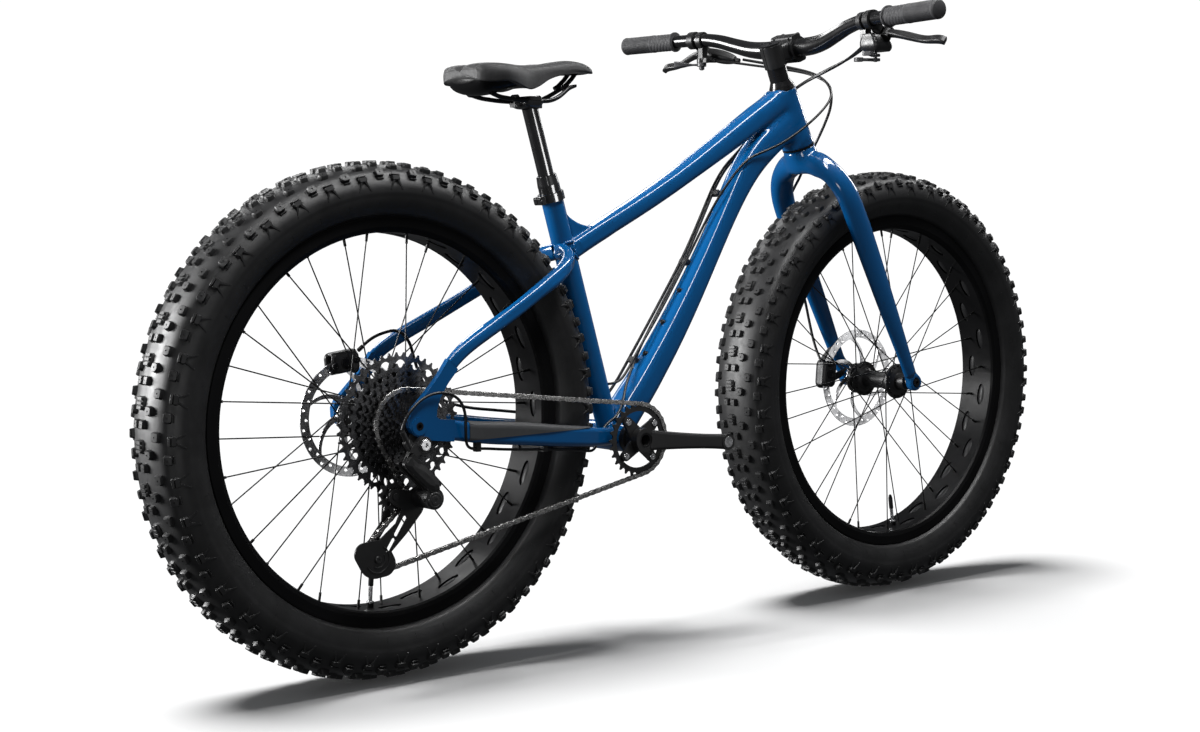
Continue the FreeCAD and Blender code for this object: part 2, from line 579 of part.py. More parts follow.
# front hub
fh = wheel("front", FA, 38.0, -42.0, 11.0, -82.0)
FH = [(7.8, -74.6), (10.0, -74.6), (10.0, -68.0), (14.5, -67.0), (15.5, -48.0), (20.0, -46.0), (31.5, -43.8), (31.5, -40.2),
      (21.0, -38.0), (16.0, -34.0), (15.0, 0.0), (16.0, 30.0), (21.0, 34.0), (31.5, 36.2), (31.5, 39.8), (24.0, 42.5),
      (17.5, 44.0), (17.5, FRONT_ROTOR_Y - ROTOR_T / 2 - 6), (26.5, FRONT_ROTOR_Y - ROTOR_T / 2 - 6),
      (26.5, FRONT_ROTOR_Y - ROTOR_T / 2 - 0.05), (17.6, FRONT_ROTOR_Y - ROTOR_T / 2 - 0.05), (17.6, FRONT_ROTOR_Y + 2.5),
      (14.5, FRONT_ROTOR_Y + 4), (10.0, 66.0), (10.0, 74.6), (7.8, 74.6)]
front_hub = revolve_y(FH, FA[0], FA[2]).cut(comp(fh))
put("front_hub", front_hub)
disc_rotor("front", FA, FRONT_ROTOR_Y, 0)

# rear hub
rh = wheel("rear", RA, 52.0, -36.0, 11.0, -94.0)
RH = [(6.3, -42.0), (16.0, -42.0), (17.0, -40.5), (22.0, -39.6), (31.5, -37.8), (31.5, -34.2), (24.0, -31.0), (18.0, -27.0),
      (16.5, 0.0), (18.0, 44.0), (22.0, 48.0), (31.5, 50.2), (31.5, 53.8), (24.0, 56.5), (17.5, 58.0),
      (17.5, REAR_ROTOR_Y - ROTOR_T / 2 - 6), (26.5, REAR_ROTOR_Y - ROTOR_T / 2 - 6),
      (26.5, REAR_ROTOR_Y - ROTOR_T / 2 - 0.05), (17.6, REAR_ROTOR_Y - ROTOR_T / 2 - 0.05), (17.6, REAR_ROTOR_Y + 2.5),
      (14.5, REAR_ROTOR_Y + 4), (10.5, 84.0), (10.5, 98.2), (6.3, 98.2)]
rear_hub = revolve_y(RH, RA[0], RA[2]).cut(comp(rh))
put("rear_hub", rear_hub)
disc_rotor("rear", RA, REAR_ROTOR_Y, 0)


# chain path: ring, sprocket and two jockey pulleys ------------------------------------------------
def pitch_r(n):
    return CHAIN_PITCH / (2 * math.sin(math.pi / n))


RING_C = (BB_X, BB_Z)
COG_C = (RA[0], RA[2])
GUIDE_C = (-566.0, 278.0)
TENS_C0 = (-594.0, 190.0)
r_ring, r_cog, r_pul = pitch_r(RING_TEETH), pitch_r(COG_TEETH[COG_IN_USE]), pitch_r(PULLEY_TEETH)


def tangent(c0, r0, s0, c1, r1, s1):
    """Tangent leaving circle 0 (turning s0) and meeting circle 1 (turning s1); +1 is clockwise
    seen from the right side, with +X to the right and +Z up."""
    dx, dz = c1[0] - c0[0], c1[1] - c0[1]
    L = math.hypot(dx, dz)
    base = math.atan2(dz, dx)
    # signed radii: the circle lies to the right of the travel direction when it turns clockwise
    k = (s1 * r1 - s0 * r0) / L
    th = base + math.asin(max(-1, min(1, k)))
    # travel direction and its right hand normal
    u = (math.cos(th), math.sin(th))
    rn = (u[1], -u[0])
    p0 = (c0[0] - rn[0] * r0 * s0, c0[1] - rn[1] * r0 * s0)
    p1 = (c1[0] - rn[0] * r1 * s1, c1[1] - rn[1] * r1 * s1)
    return p0, p1


def chain_path(tens):
    """Segments in travel order; the upper run moves forward.  Returns a list of
    ('line', p0, p1) and ('arc', centre, r, a0, a1, teeth)."""
    circ = [(COG_C, r_cog, 1, COG_TEETH[COG_IN_USE]), (RING_C, r_ring, 1, RING_TEETH),
            (tens, r_pul, 1, PULLEY_TEETH), (GUIDE_C, r_pul, -1, PULLEY_TEETH)]
    tl = []
    for i in range(4):
        c0, r0, s0, n0 = circ[i]
        c1, r1, s1, n1 = circ[(i + 1) % 4]
        tl.append(tangent(c0, r0, s0, c1, r1, s1))
    segs = []
    for i in range(4):
        p0, p1 = tl[i]
        segs.append(("line", p0, p1))
        c1, r1, s1, n1 = circ[(i + 1) % 4]
        q = tl[(i + 1) % 4][0]
        a0 = math.atan2(p1[1] - c1[1], p1[0] - c1[0])
        a1 = math.atan2(q[1] - c1[1], q[0] - c1[0])
        if s1 > 0:
            while a1 > a0:
                a1 -= 2 * math.pi
        else:
            while a1 < a0:
                a1 += 2 * math.pi
        segs.append(("arc", c1, r1, a0, a1, n1))
    return segs


def seg_pitches(s):
    if s[0] == "line":
        return math.hypot(s[2][0] - s[1][0], s[2][1] - s[1][1]) / CHAIN_PITCH
    return abs(s[4] - s[3]) / (2 * math.pi / s[5])


def seg_point(s, f):
    if s[0] == "line":
        return (s[1][0] + (s[2][0] - s[1][0]) * f, s[1][1] + (s[2][1] - s[1][1]) * f)
    a = s[3] + (s[4] - s[3]) * f
    return (s[1][0] + s[2] * math.cos(a), s[1][1] + s[2] * math.sin(a))


# the tension pulley swings about the guide pulley until the chain holds an even number of links
def total(tens):
    return sum(seg_pitches(s) for s in chain_path(tens))


def tens_at(delta):
    dx, dz = TENS_C0[0] - GUIDE_C[0], TENS_C0[1] - GUIDE_C[1]
    return (GUIDE_C[0] + dx * math.cos(delta) - dz * math.sin(delta),
            GUIDE_C[1] + dx * math.sin(delta) + dz * math.cos(delta))


n0 = total(TENS_C0)
best = None
for i in range(-300, 301):
    dlt = i * 0.001
    n = total(tens_at(dlt))
    e = abs(n / 2.0 - round(n / 2.0))
    sc = abs(dlt)
    if best is None or (e < 0.004 and (best[0] >= 0.004 or sc < best[1])):
        best = (e, sc, dlt)
lo = best[2]
target = 2 * round(total(tens_at(lo)) / 2.0)
d0, d1 = lo - 0.01, lo + 0.01
for _ in range(60):
    m = 0.5 * (d0 + d1)
    if (total(tens_at(d0)) - target) * (total(tens_at(m)) - target) <= 0:
        d1 = m
    else:
        d0 = m
TENS_C = tens_at(0.5 * (d0 + d1))
PATH = chain_path(TENS_C)
LINKS = target
print("chain links", LINKS, "tension pulley", TENS_C, "swing", math.degrees(0.5 * (d0 + d1)))

cum = [0.0]
for s in PATH:
    cum.append(cum[-1] + seg_pitches(s))
scale = LINKS / cum[-1]


def chain_point(n):
    n = (n % LINKS) / scale
    for s, a, b in zip(PATH, cum[:-1], cum[1:]):
        if n <= b + 1e-9:
            return seg_point(s, (n - a) / (b - a))
    return seg_point(PATH[-1], 1.0)


ROLLERS = [chain_point(i) for i in range(LINKS)]
phase = {}
for i in range(LINKS):
    n = i / scale
    for j, (s, a, b) in enumerate(zip(PATH, cum[:-1], cum[1:])):
        if s[0] == "arc" and a + 0.3 < n < b - 0.3 and j not in phase:
            ang = s[3] + (s[4] - s[3]) * (n - a) / (b - a)
            phase[j] = ang
# arcs in PATH order: 1 ring, 3 tension, 5 guide, 7 cog
PH_RING, PH_TENS, PH_GUIDE, PH_COG = phase[1], phase[3], phase[5], phase[7]
print("phases", [round(math.degrees(q), 3) for q in (PH_RING, PH_TENS, PH_GUIDE, PH_COG)])

chain_parts = []
samples = []
for s in PATH:
    if s[0] == "line":
        samples.append(s[1])
    else:
        m = max(2, int(abs(s[4] - s[3]) / math.radians(11.0)))
        for i in range(m):
            samples.append(seg_point(s, i / m))


def offset_loop(pts, h):
    out = []
    n = len(pts)
    for i in range(n):
        p, q, r = pts[i - 1], pts[i], pts[(i + 1) % n]
        d1 = (q[0] - p[0], q[1] - p[1])
        d2 = (r[0] - q[0], r[1] - q[1])
        l1, l2 = math.hypot(*d1), math.hypot(*d2)
        t = (d1[0] / l1 + d2[0] / l2, d1[1] / l1 + d2[1] / l2)
        l = math.hypot(*t)
        out.append((q[0] - t[1] / l * h, q[1] + t[0] / l * h))
    return out


for y0, y1 in ((CHAIN_Y - 2.5, CHAIN_Y - 1.4), (CHAIN_Y + 1.4, CHAIN_Y + 2.5)):
    w = []
    for h in (4.0, -4.0):
        vs = [V(x, y0, z) for x, z in offset_loop(samples, h)]
        w.append(Part.makePolygon(vs + [vs[0]]))
    if Part.Face(w[0]).Area < Part.Face(w[1]).Area:
        w.reverse()
    w[1].reverse()
    band = Part.Face(w)
    print("chain band area", round(band.Area), "valid", band.isValid())
    chain_parts.append(band.extrude(V(0, y1 - y0, 0)))
for x, z in ROLLERS:
    chain_parts.append(ycyl(x, z, CHAIN_Y - 1.4, CHAIN_Y + 1.4, 3.8))
put("chain", comp(chain_parts))


def sprocket(cx, cz, n, ph, y0, y1, bore, tip=2.3):
    rp = pitch_r(n)
    pts = []
    for k in range(n):
        g = ph + 2 * math.pi * k / n
        er, et = (math.cos(g), math.sin(g)), (-math.sin(g), math.cos(g))
        for f in (-76, -38, 0, 38, 76):
            q = math.radians(f)
            a, b = -4.05 * math.cos(q), 4.05 * math.sin(q)
            pts.append((cx + (rp + a) * er[0] + b * et[0], cz + (rp + a) * er[1] + b * et[1]))
        for sgn in (-1, 1):
            ang = g + math.pi / n + sgn * 1.1 / rp
            pts.append((cx + (rp + tip) * math.cos(ang), cz + (rp + tip) * math.sin(ang)))
    s = poly_xz(pts, y0, y1)
    if bore > 0:
        s = s.cut(ycyl(cx, cz, y0 - 1, y1 + 1, bore))
    return s


# cassette: sprockets, free hub body and lock ring -----------------------------------------------------
SMALL_Y = CHAIN_Y - COG_IN_USE * COG_PITCH
cas = []
for i, n in enumerate(COG_TEETH):
    yc = SMALL_Y + i * COG_PITCH
    rp = pitch_r(n)
    ph = PH_COG if i == COG_IN_USE else PH_COG + 0.6 * i
    s = sprocket(RA[0], RA[2], n, ph, yc - 0.85, yc + 0.85, 17.1)
    if n >= 22:
        r_in, r_out = 22.0, rp - 8.5
        hr = min(9.0, (r_out - r_in) / 2.0)
        nh = max(6, int(2 * math.pi * (r_out - hr) / (2 * hr + 6.0)))
        hs = []
        for k in range(nh):
            a = 2 * math.pi * (k + 0.37 * i) / nh
            hs.append(ycyl(RA[0] + (r_out - hr) * math.cos(a), RA[2] + (r_out - hr) * math.sin(a), yc - 3, yc + 3, hr))
        s = s.cut(comp(hs))
    if i > 0:
        # spacer ring down to the next smaller sprocket
        pass
    cas.append(s)
for i in range(len(COG_TEETH) - 1):
    yc = SMALL_Y + i * COG_PITCH
    cas.append(ytube(RA[0], RA[2], yc + 0.85, yc + COG_PITCH - 0.85, 20.0, 17.1))
cas.append(ytube(RA[0], RA[2], -96.4, -42.5, 17.0, 6.4))
cas.append(ytube(RA[0], RA[2], SMALL_Y - 0.9 - 1.9, SMALL_Y - 0.9, 18.6, 17.1))
put("cassette", comp(cas))

# crankset ----------------------------------------------------------------------------------------------
ca = math.radians(CRANK_ANGLE)
cu = (math.cos(ca), math.sin(ca))


def arm(inner_y, end_y):
    """Right arm: y values are of the middle plane at the boss and at the pedal eye."""
    secs = []
    for f, hh, th in ((10, 17.0, 7.8), (45, 14.5, 7.0), (95, 12.5, 6.6), (140, 12.0, 6.6), (CRANK_LENGTH - 6, 12.6, 6.6)):
        y = inner_y + (end_y - inner_y) * f / CRANK_LENGTH
        c = (BB_X + cu[0] * f, y, BB_Z + cu[1] * f)
        secs.append(section(c, (cu[0], 0, cu[1]), hh, th, 4.5))
    return loft(secs)


arm_r = fuse([arm(-83.0, -100.0), ycyl(BB_X, BB_Z, -91.0, -62.5, 19.5),
              ycyl(BB_X + cu[0] * CRANK_LENGTH, BB_Z + cu[1] * CRANK_LENGTH, -106.6, -93.4, 13.2)])
spider = []
for k in range(4):
    a = ca + math.radians(45 + 90 * k)
    spider.append(hull_xz([(BB_X, BB_Z, 15.0), (BB_X + 38 * math.cos(a), BB_Z + 38 * math.sin(a), 8.0)], -77.2, -72.8))
arm_r = fuse([arm_r] + spider)
ped_r = ycyl(BB_X + cu[0] * CRANK_LENGTH, BB_Z + cu[1] * CRANK_LENGTH, -120, -80, PEDAL_HOLE_R)
bolt_holes = []
for k in range(4):
    a = ca + math.radians(45 + 90 * k)
    bolt_holes.append(ycyl(BB_X + 38 * math.cos(a), BB_Z + 38 * math.sin(a), -90, -60, 4.15))
arm_r = cut(arm_r, [ycyl(BB_X, BB_Z, -95, -50, 12.1), ped_r, comp(bolt_holes)])
put("crank_arm_right", arm_r)

arm_l = fuse([arm(-83.0, -100.0), ycyl(BB_X, BB_Z, -91.0, -62.5, 19.5),
              ycyl(BB_X + cu[0] * CRANK_LENGTH, BB_Z + cu[1] * CRANK_LENGTH, -106.6, -93.4, 13.2)])
arm_l = cut(arm_l, [ped_r])
arm_l = mirror_y(arm_l)
arm_l.rotate(BB, V(0, 1, 0), 180)
spindle = ycyl(BB_X, BB_Z, -90.4, 70.0, 12.0)
arm_l = cut(fuse([arm_l, spindle]), [ycyl(BB_X, BB_Z, -95, 80, 9.0)])
put("crank_arm_left", arm_l)

ring = sprocket(BB_X, BB_Z, RING_TEETH, PH_RING, CHAIN_Y - 1.0, CHAIN_Y + 1.0, 0)
ring = ring.cut(ycyl(BB_X, BB_Z, -80, -60, 45.0))
tabs = []
for k in range(4):
    a = ca + math.radians(45 + 90 * k)
    bx, bz = BB_X + 38 * math.cos(a), BB_Z + 38 * math.sin(a)
    ex, ez = BB_X + 47 * math.cos(a), BB_Z + 47 * math.sin(a)
    tabs.append(hull_xz([(bx, bz, 7.5), (ex, ez, 4.5)], CHAIN_Y - 1.0, CHAIN_Y + 1.0))
ring = fuse([ring] + tabs).cut(comp(bolt_holes))
bolts = []
for k in range(4):
    a = ca + math.radians(45 + 90 * k)
    bx, bz = BB_X + 38 * math.cos(a), BB_Z + 38 * math.sin(a)
    b = fuse([ycyl(bx, bz, -79.2, -68.6, 4.0), ycyl(bx, bz, -79.2, -77.3, 5.4), ycyl(bx, bz, -70.3, -68.6, 5.4)])
    bolts.append(cut(b, [ycyl(bx, bz, -81, -76.5, 2.6)]))
# steps behind the teeth keep the ring off the spider
put("chainring", comp([ring] + bolts))

# rear derailleur -----------------------------------------------------------------------------------------
LINK = V(44.0, 0.0, -41.0)
LH = unit(LINK)
AX = V(-LH.z, 0, LH.x)                 # pin direction of the parallelogram
AO = V(-566.0, -116.5, 333.0)          # outer link upper pin
AI = V(-566.0, -100.5, 333.0)          # inner link upper pin
BO, BI = AO + LINK, AI + LINK
CP = (-524.0, 275.0)                   # cage pivot
PIN_R = 2.0


def slab(c, u, v, a, b, r, n, t):
    """Rounded plate centred on c with half sizes a (u) and b (v), thickness t along n."""
    n = unit(n)
    w0 = rr_wire(V(c) - n * (t / 2), u, v, a, b, r)
    return Part.Face(w0).extrude(n * t)


def bar(p0, p1, w, t, n):
    """Flat bar with rounded ends from p0 to p1, width w across AX, thickness t along n."""
    p0, p1 = V(p0), V(p1)
    u = unit(p1 - p0)
    c = (p0 + p1) * 0.5
    return slab(c, u, unit(n).cross(u), (p1 - p0).Length / 2 + 4.5, w / 2, 4.0, n, t)


HALF = 11.0            # links span this much either side along the pins
LINK_T = 7.6
ol = fuse([slab(AO + LINK * 0.5, LH, AX, LINK.Length / 2 + 4.6, HALF, 4.0, (0, 1, 0), LINK_T)])
ol = cut(ol, [cyl(p - AX * 30, AX, PIN_R + 0.15, 60) for p in (AO,)] +
         [cyl(AO - AX * 5.2, AX, 5.6, 10.4), cyl(BO - AX * 5.2, AX, 5.6, 10.4)])
ol_pin = cyl(BO - AX * 10.5, AX, PIN_R, 21.0)
ol = fuse([ol, ol_pin])
put("derailleur_outer_link", ol)
il = slab(AI + LINK * 0.5, LH, AX, LINK.Length / 2 + 4.6, HALF, 4.0, (0, 1, 0), LINK_T)
il = cut(il, [cyl(AI - AX * 30, AX, PIN_R + 0.15, 60), cyl(BI - AX * 30, AX, PIN_R + 0.4, 60),
              cyl(AI - AX * 5.2, AX, 5.6, 10.4), cyl(BI - AX * 5.2, AX, 5.9, 10.4)])
put("derailleur_inner_link", il)

# hanger knuckle: eye round the bolt, arm down to the two upper pins
bk_eye = ycyl(HB[0], HB[1], -119.0, -110.2, 12.0)
bk_arm = hull_xz([(HB[0], HB[1], 10.0), (-556, 346, 8.5), (AO.x, AO.z, 5.0)], -118.5, -110.2)
kn_u = [fuse([cyl(p - AX * 4.9, AX, 5.2, 9.8)]) for p in (AO, AI)]
web = slab((AO + AI) * 0.5, (0, 1, 0), AX, 8.0, 4.9, 1.0, LH, 5.0)
barrel = cyl(V(-563, -114.0, 352), unit(V(-0.45, 0, 0.89)), 4.2, 26.0)
cable_arm = hull_xz([(-556, 346, 7.5), (-566, 358, 6.0)], -117.0, -110.2)
bk = fuse([bk_eye, bk_arm, cable_arm, barrel, web] + kn_u)
ol_zone = slab(AO + LINK * 0.5, LH, AX, LINK.Length / 2 + 5.4, HALF + 0.8, 4.0, (0, 1, 0), LINK_T + 1.2)
il_zone = slab(AI + LINK * 0.5, LH, AX, LINK.Length / 2 + 5.4, HALF + 0.8, 4.0, (0, 1, 0), LINK_T + 1.2)
swing = []
for ang in (-21, -14, -7, 0, 7, 14, 18):
    for zone, p in ((ol_zone, AO), (il_zone, AI)):
        z = zone.copy()
        z.rotate(p, AX, ang)
        swing.append(z)
keep = [cyl(p - AX * 4.7, AX, 5.1, 9.4) for p in (AO, AI)]
room = fuse(swing)
room = cut(room, [cyl(p - AX * 4.7, AX, 5.1, 9.4) for p in (AO, AI)])
bk = cut(bk, [room, ycyl(HB[0], HB[1], -125, -95, 5.2)])
bk = max(bk.Solids, key=lambda s: s.Volume)
pins_u = [cyl(p - AX * 10.5, AX, PIN_R, 21.0) for p in (AO, AI)]
bk = fuse([bk] + pins_u)
hb_bolt = cut(fuse([ycyl(HB[0], HB[1], -119.2, -99.5, 5.0), ycyl(HB[0], HB[1], -122.4, -119.1, 8.6)]),
              [ycyl(HB[0], HB[1], -124, -117, 3.0)])
put("derailleur_b_knuckle", comp([bk, hb_bolt]))

# cage knuckle: two lower bosses and the drum round the cage pivot
pk_boss = [cyl(p - AX * 4.9, AX, 5.2, 9.8) for p in (BO, BI)]
pk_web = slab((BO + BI) * 0.5 + LH * 3.0, (0, 1, 0), AX, 8.0, 4.9, 1.0, LH, 6.0)
pk_drum = ycyl(CP[0], CP[1], -119.0, -82.0, 15.5)
pk_neck = hull_xz([(CP[0], CP[1], 13.0), (BO.x + 3, BO.z - 4, 8.0)], -113.0, -103.5)
pk = fuse([pk_drum, pk_neck, pk_web] + pk_boss)
swing = []
for ang in (-21, -14, -7, 0, 7, 14, 18):
    for zone, p in ((ol_zone, BO), (il_zone, BI)):
        z = zone.copy()
        z.rotate(p, AX, ang)
        swing.append(z)
room = cut(fuse(swing), [cyl(p - AX * 4.7, AX, 5.1, 9.4) for p in (BO, BI)])
pk = cut(pk, [room])
pk = max(pk.Solids, key=lambda s: s.Volume)
pk = cut(pk, [cyl(BO - AX * 30, AX, PIN_R + 0.2, 60), ycyl(CP[0], CP[1], -100, -80, 5.3)])
pk_pin = cyl(BI - AX * 10.5, AX, PIN_R, 21.0)
pk = fuse([pk, pk_pin])
put("derailleur_cage_knuckle", pk)

# cage: outer and inner plate, pivot stub and pulley bolts
Y_OUT0, Y_OUT1 = -81.4, -78.6
Y_IN0, Y_IN1 = -64.6, -62.6
outer_plate = hull_xz([(CP[0], CP[1], 16.0), (-538, 268, 17.0), (GUIDE_C[0], GUIDE_C[1], 11.0)], Y_OUT0, Y_OUT1)
mid_plate = hull_xz([(-536, 262, 18.0), (-556, 232, 12.0), (TENS_C[0] + 6, TENS_C[1] + 12, 14.0), (TENS_C[0], TENS_C[1], 20.0)],
                    Y_OUT0, Y_OUT1)
fender = hull_xz([(TENS_C[0] + 12, TENS_C[1] - 8, 18.0), (TENS_C[0] - 3, TENS_C[1], 27.5), (TENS_C[0] - 22, TENS_C[1] + 10, 16.0)], Y_OUT0, Y_OUT1)
slots = [hull_xz([(-551, 246, 3.4), (-566, 224, 3.4)], -90, -70), hull_xz([(-571, 216, 3.2), (-580, 203, 3.2)], -90, -70)]
outer_plate = cut(fuse([outer_plate, mid_plate, fender]), slots)
inner_plate = hull_xz([(GUIDE_C[0], GUIDE_C[1], 11.0), (-574, 240, 6.0), (TENS_C[0] - 3, TENS_C[1] + 16, 7.0), (TENS_C[0], TENS_C[1], 12.0)],
                      Y_IN0, Y_IN1)
bolts_c = [ycyl(c[0], c[1], -82.6, -62.0, 2.5) for c in (GUIDE_C, TENS_C)]
heads_c = [ycyl(c[0], c[1], -83.0, -81.3, 5.2) for c in (GUIDE_C, TENS_C)]
bush_c = [ycyl(c[0], c[1], -78.7, CHAIN_Y - 3.2, 4.6) for c in (GUIDE_C, TENS_C)] + \
         [ycyl(c[0], c[1], CHAIN_Y + 3.2, -64.5, 4.6) for c in (GUIDE_C, TENS_C)]
stub = ycyl(CP[0], CP[1], -97.0, -81.0, 5.0)
cage = fuse([outer_plate, inner_plate, stub] + bolts_c + heads_c + bush_c)
put("derailleur_cage", cage)


def pulley(c, ph):
    s = sprocket(c[0], c[1], PULLEY_TEETH, ph, CHAIN_Y - 0.95, CHAIN_Y + 0.95, 0, tip=2.4)
    hub = ycyl(c[0], c[1], CHAIN_Y - 2.9, CHAIN_Y + 2.9, 6.5)
    hs = [ycyl(c[0] + 12.2 * math.cos(a), c[1] + 12.2 * math.sin(a), CHAIN_Y - 4, CHAIN_Y + 4, 3.4)
          for a in [2 * math.pi * k / 6 for k in range(6)]]
    return cut(fuse([s, hub]), [ycyl(c[0], c[1], CHAIN_Y - 5, CHAIN_Y + 5, 2.8), comp(hs)])


put("guide_pulley", pulley(GUIDE_C, PH_GUIDE))
put("tension_pulley", pulley(TENS_C, PH_TENS))

# fork --------------------------------------------------------------------------------------------------------
HBm = V(HEAD_BOTTOM)
steerer = fuse([cyl(HBm - STEER * 6.0, STEER, 20.0, 24.0), cone(HBm + STEER * 18.0, STEER, 20.0, 14.3, 45.0),
                cyl(HBm + STEER * 62.9, STEER, 14.3, 106.0)])
steerer = cut(steerer, [cyl(HBm - STEER * 40.0, STEER, 11.9, 300.0)])
crown = loft([ell_wire(HBm - STEER * 2.7, V(STEER.z, 0, -STEER.x), (0, 1, 0), 28.3, 28.3),
              ell_wire(HBm - STEER * 14.0, V(STEER.z, 0, -STEER.x), (0, 1, 0), 28.0, 31.0),
              ell_wire(HBm - STEER * 27.0, V(STEER.z, 0, -STEER.x), (0, 1, 0), 27.0, 36.0),
              ell_wire(HBm - STEER * 40.0, V(STEER.z, 0, -STEER.x), (0, 1, 0), 25.0, 38.0),
              ell_wire(HBm - STEER * 47.0, V(STEER.z, 0, -STEER.x), (0, 1, 0), 19.0, 34.0)])
# from the middle of the crown down the right leg: centre, half depth fore and aft, half width
FORK_LEG = [((338, 0, 777), 22.0, 23.0), ((342, -28, 771), 22.6, 22.0), ((348, -50, 760), 23.4, 19.8), ((357, -68, 741), 24.0, 17.4),
            ((368, -78.5, 718), 24.4, 15.6), ((384, -82.5, 685), 24.4, 14.4), ((429, -83.5, 596), 23.0, 12.8), ((480, -84, 495), 19.4, 10.8),
            ((511, -84, 434), 15.6, 9.4), ((531, -83.5, 395), 12.6, 8.4)]
FORK_STEP = 28.0           # spacing of the sections along the arch


def even_stations(table, step):
    """Sections at even spacing along a smooth line through the table, with half sizes that change evenly."""
    pts = [V(c) for c, a, b in table]
    val = [(a, b) for c, a, b in table]
    dense = []
    n = len(pts)
    for i in range(n - 1):
        p0, p1, p2, p3 = pts[max(i - 1, 0)], pts[i], pts[i + 1], pts[min(i + 2, n - 1)]
        d1 = (p2 - p1).Length
        m1 = (p2 - p0) * (d1 / max(1e-6, (p1 - p0).Length + d1)) if i > 0 else (p2 - p1)
        m2 = (p3 - p1) * (d1 / max(1e-6, (p3 - p2).Length + d1)) if i < n - 2 else (p2 - p1)
        for k in range(24):
            t = k / 24.0
            h0, h1, h2, h3 = 2 * t**3 - 3 * t**2 + 1, t**3 - 2 * t**2 + t, -2 * t**3 + 3 * t**2, t**3 - t**2
            p = p1 * h0 + m1 * h1 + p2 * h2 + m2 * h3
            dense.append((p, val[i][0] + (val[i + 1][0] - val[i][0]) * t, val[i][1] + (val[i + 1][1] - val[i][1]) * t))
    dense.append((pts[-1], val[-1][0], val[-1][1]))
    cum = [0.0]
    for i in range(1, len(dense)):
        cum.append(cum[-1] + (dense[i][0] - dense[i - 1][0]).Length)
    m = max(2, int(round(cum[-1] / step)))
    out = []
    j = 0
    for k in range(m + 1):
        d = cum[-1] * k / m
        while j < len(cum) - 2 and cum[j + 1] < d:
            j += 1
        t = min(1.0, max(0.0, (d - cum[j]) / max(1e-9, cum[j + 1] - cum[j])))
        out.append((dense[j][0] + (dense[j + 1][0] - dense[j][0]) * t, dense[j][1] + (dense[j + 1][1] - dense[j][1]) * t,
                    dense[j][2] + (dense[j + 1][2] - dense[j][2]) * t))
    for _ in range(6):
        out = [out[0]] + [(out[i][0], (out[i - 1][1] + 2 * out[i][1] + out[i + 1][1]) / 4,
                           (out[i - 1][2] + 2 * out[i][2] + out[i + 1][2]) / 4) for i in range(1, len(out) - 1)] + [out[-1]]
    return out


def leg_section(c, d, a, b):
    """Elliptical: a along the fore-aft direction, b across."""
    d = unit(d)
    f = V(1, 0, 0) - d * d.x
    f.normalize()
    return ell_wire(c, f, d.cross(f), a, b)


# both legs and the crown's shoulders are one arch, from the left end to the right end
arch_table = [((c[0], -c[1], c[2]), a, b) for c, a, b in reversed(FORK_LEG[1:])] + FORK_LEG
arch_at = even_stations(arch_table, FORK_STEP)
arch = loft([leg_section(c, arch_at[min(i + 1, len(arch_at) - 1)][0] - arch_at[max(i - 1, 0)][0], a, b)
             for i, (c, a, b) in enumerate(arch_at)])
fdrop = fuse([ycyl(FA[0], FA[2], -89.0, -FRONT_OLD / 2 - 0.2, 15.0),
              hull_xz([(FA[0], FA[2], 13.0), (526, 408, 11.0)], -86.3, -FRONT_OLD / 2 - 0.2)])
fork = arch.fuse(crown)
fork = fork.fuse([fdrop, mirror_y(fdrop)])
fork = cut(fork, [ycyl(FA[0], FA[2], -100, 100, FRONT_AXLE_R + 0.15), cyl(HBm - STEER * 30.0, STEER, 11.9, 200.0)])
fork = fuse([fork, steerer])
put("fork", fork)

front_axle = cut(fuse([ycyl(FA[0], FA[2], -90.0, 90.5, FRONT_AXLE_R), ycyl(FA[0], FA[2], 89.2, 93.0, 10.5)]),
                 [ycyl(FA[0], FA[2], -91, -80, 3.0), ycyl(FA[0], FA[2], 84, 94, 3.0)])
put("front_axle", front_axle)

# headset cover, spacers and top cap (turn with the fork)
cover_c = cut(cone(st(7.4), STEER, 21.0, 17.2, 8.6), [cyl(st(6), STEER, 14.4, 20)])
sp1 = tube(st(16.1), STEER, 17.0, 14.4, 12.4)
sp2 = tube(st(28.6), STEER, 17.0, 14.4, 12.2)
STEM_LO = 41.0
STEM_H = 38.0
cap = cut(fuse([cyl(st(STEM_LO + STEM_H + 0.1), STEER, 17.0, 3.0), cyl(st(STEM_LO + STEM_H - 12), STEER, 4.0, 16.2)]),
          [cyl(st(STEM_LO + STEM_H + 1.0), STEER, 2.6, 8)])
put("headset_spacers", comp([cover_c, sp1, sp2, cap]))

# stem, face plate and bolts ------------------------------------------------------------------------------------
STEM_D = V(STEER.z, 0, -STEER.x)          # forward, square to the steering axis
stem_c = st(STEM_LO + STEM_H / 2)
BAR_C = stem_c + STEM_D * 40.0
clampL = cyl(st(STEM_LO), STEER, 19.5, STEM_H)
ext = loft([rr_wire(stem_c + STEM_D * 4, (0, 1, 0), STEER, 18.5, 18.0, 8.0),
            rr_wire(stem_c + STEM_D * 22, (0, 1, 0), STEER, 19.0, 16.0, 8.0),
            rr_wire(BAR_C - STEM_D * 8, (0, 1, 0), STEER, 25.5, 19.5, 6.0)])
bar_half = ycyl(BAR_C.x, BAR_C.z, -25.5, 25.5, 20.5)
lugs = Part.makeBox(22, 51, 48, V(-11, -25.5, -24))
lugs.Placement = FreeCAD.Placement(BAR_C, FreeCAD.Rotation(V(0, 0, 1), STEER))
lugs_s = lugs.makeFillet(5.0, [e for e in lugs.Edges if abs(abs(e.tangentAt(e.FirstParameter).y) - 1) < 1e-3])
ball = fuse([bar_half, lugs_s])
back = Part.makeBox(80, 80, 80, V(-80.35, -40, -40))
back.Placement = FreeCAD.Placement(BAR_C, FreeCAD.Rotation(V(0, 0, 1), STEER))
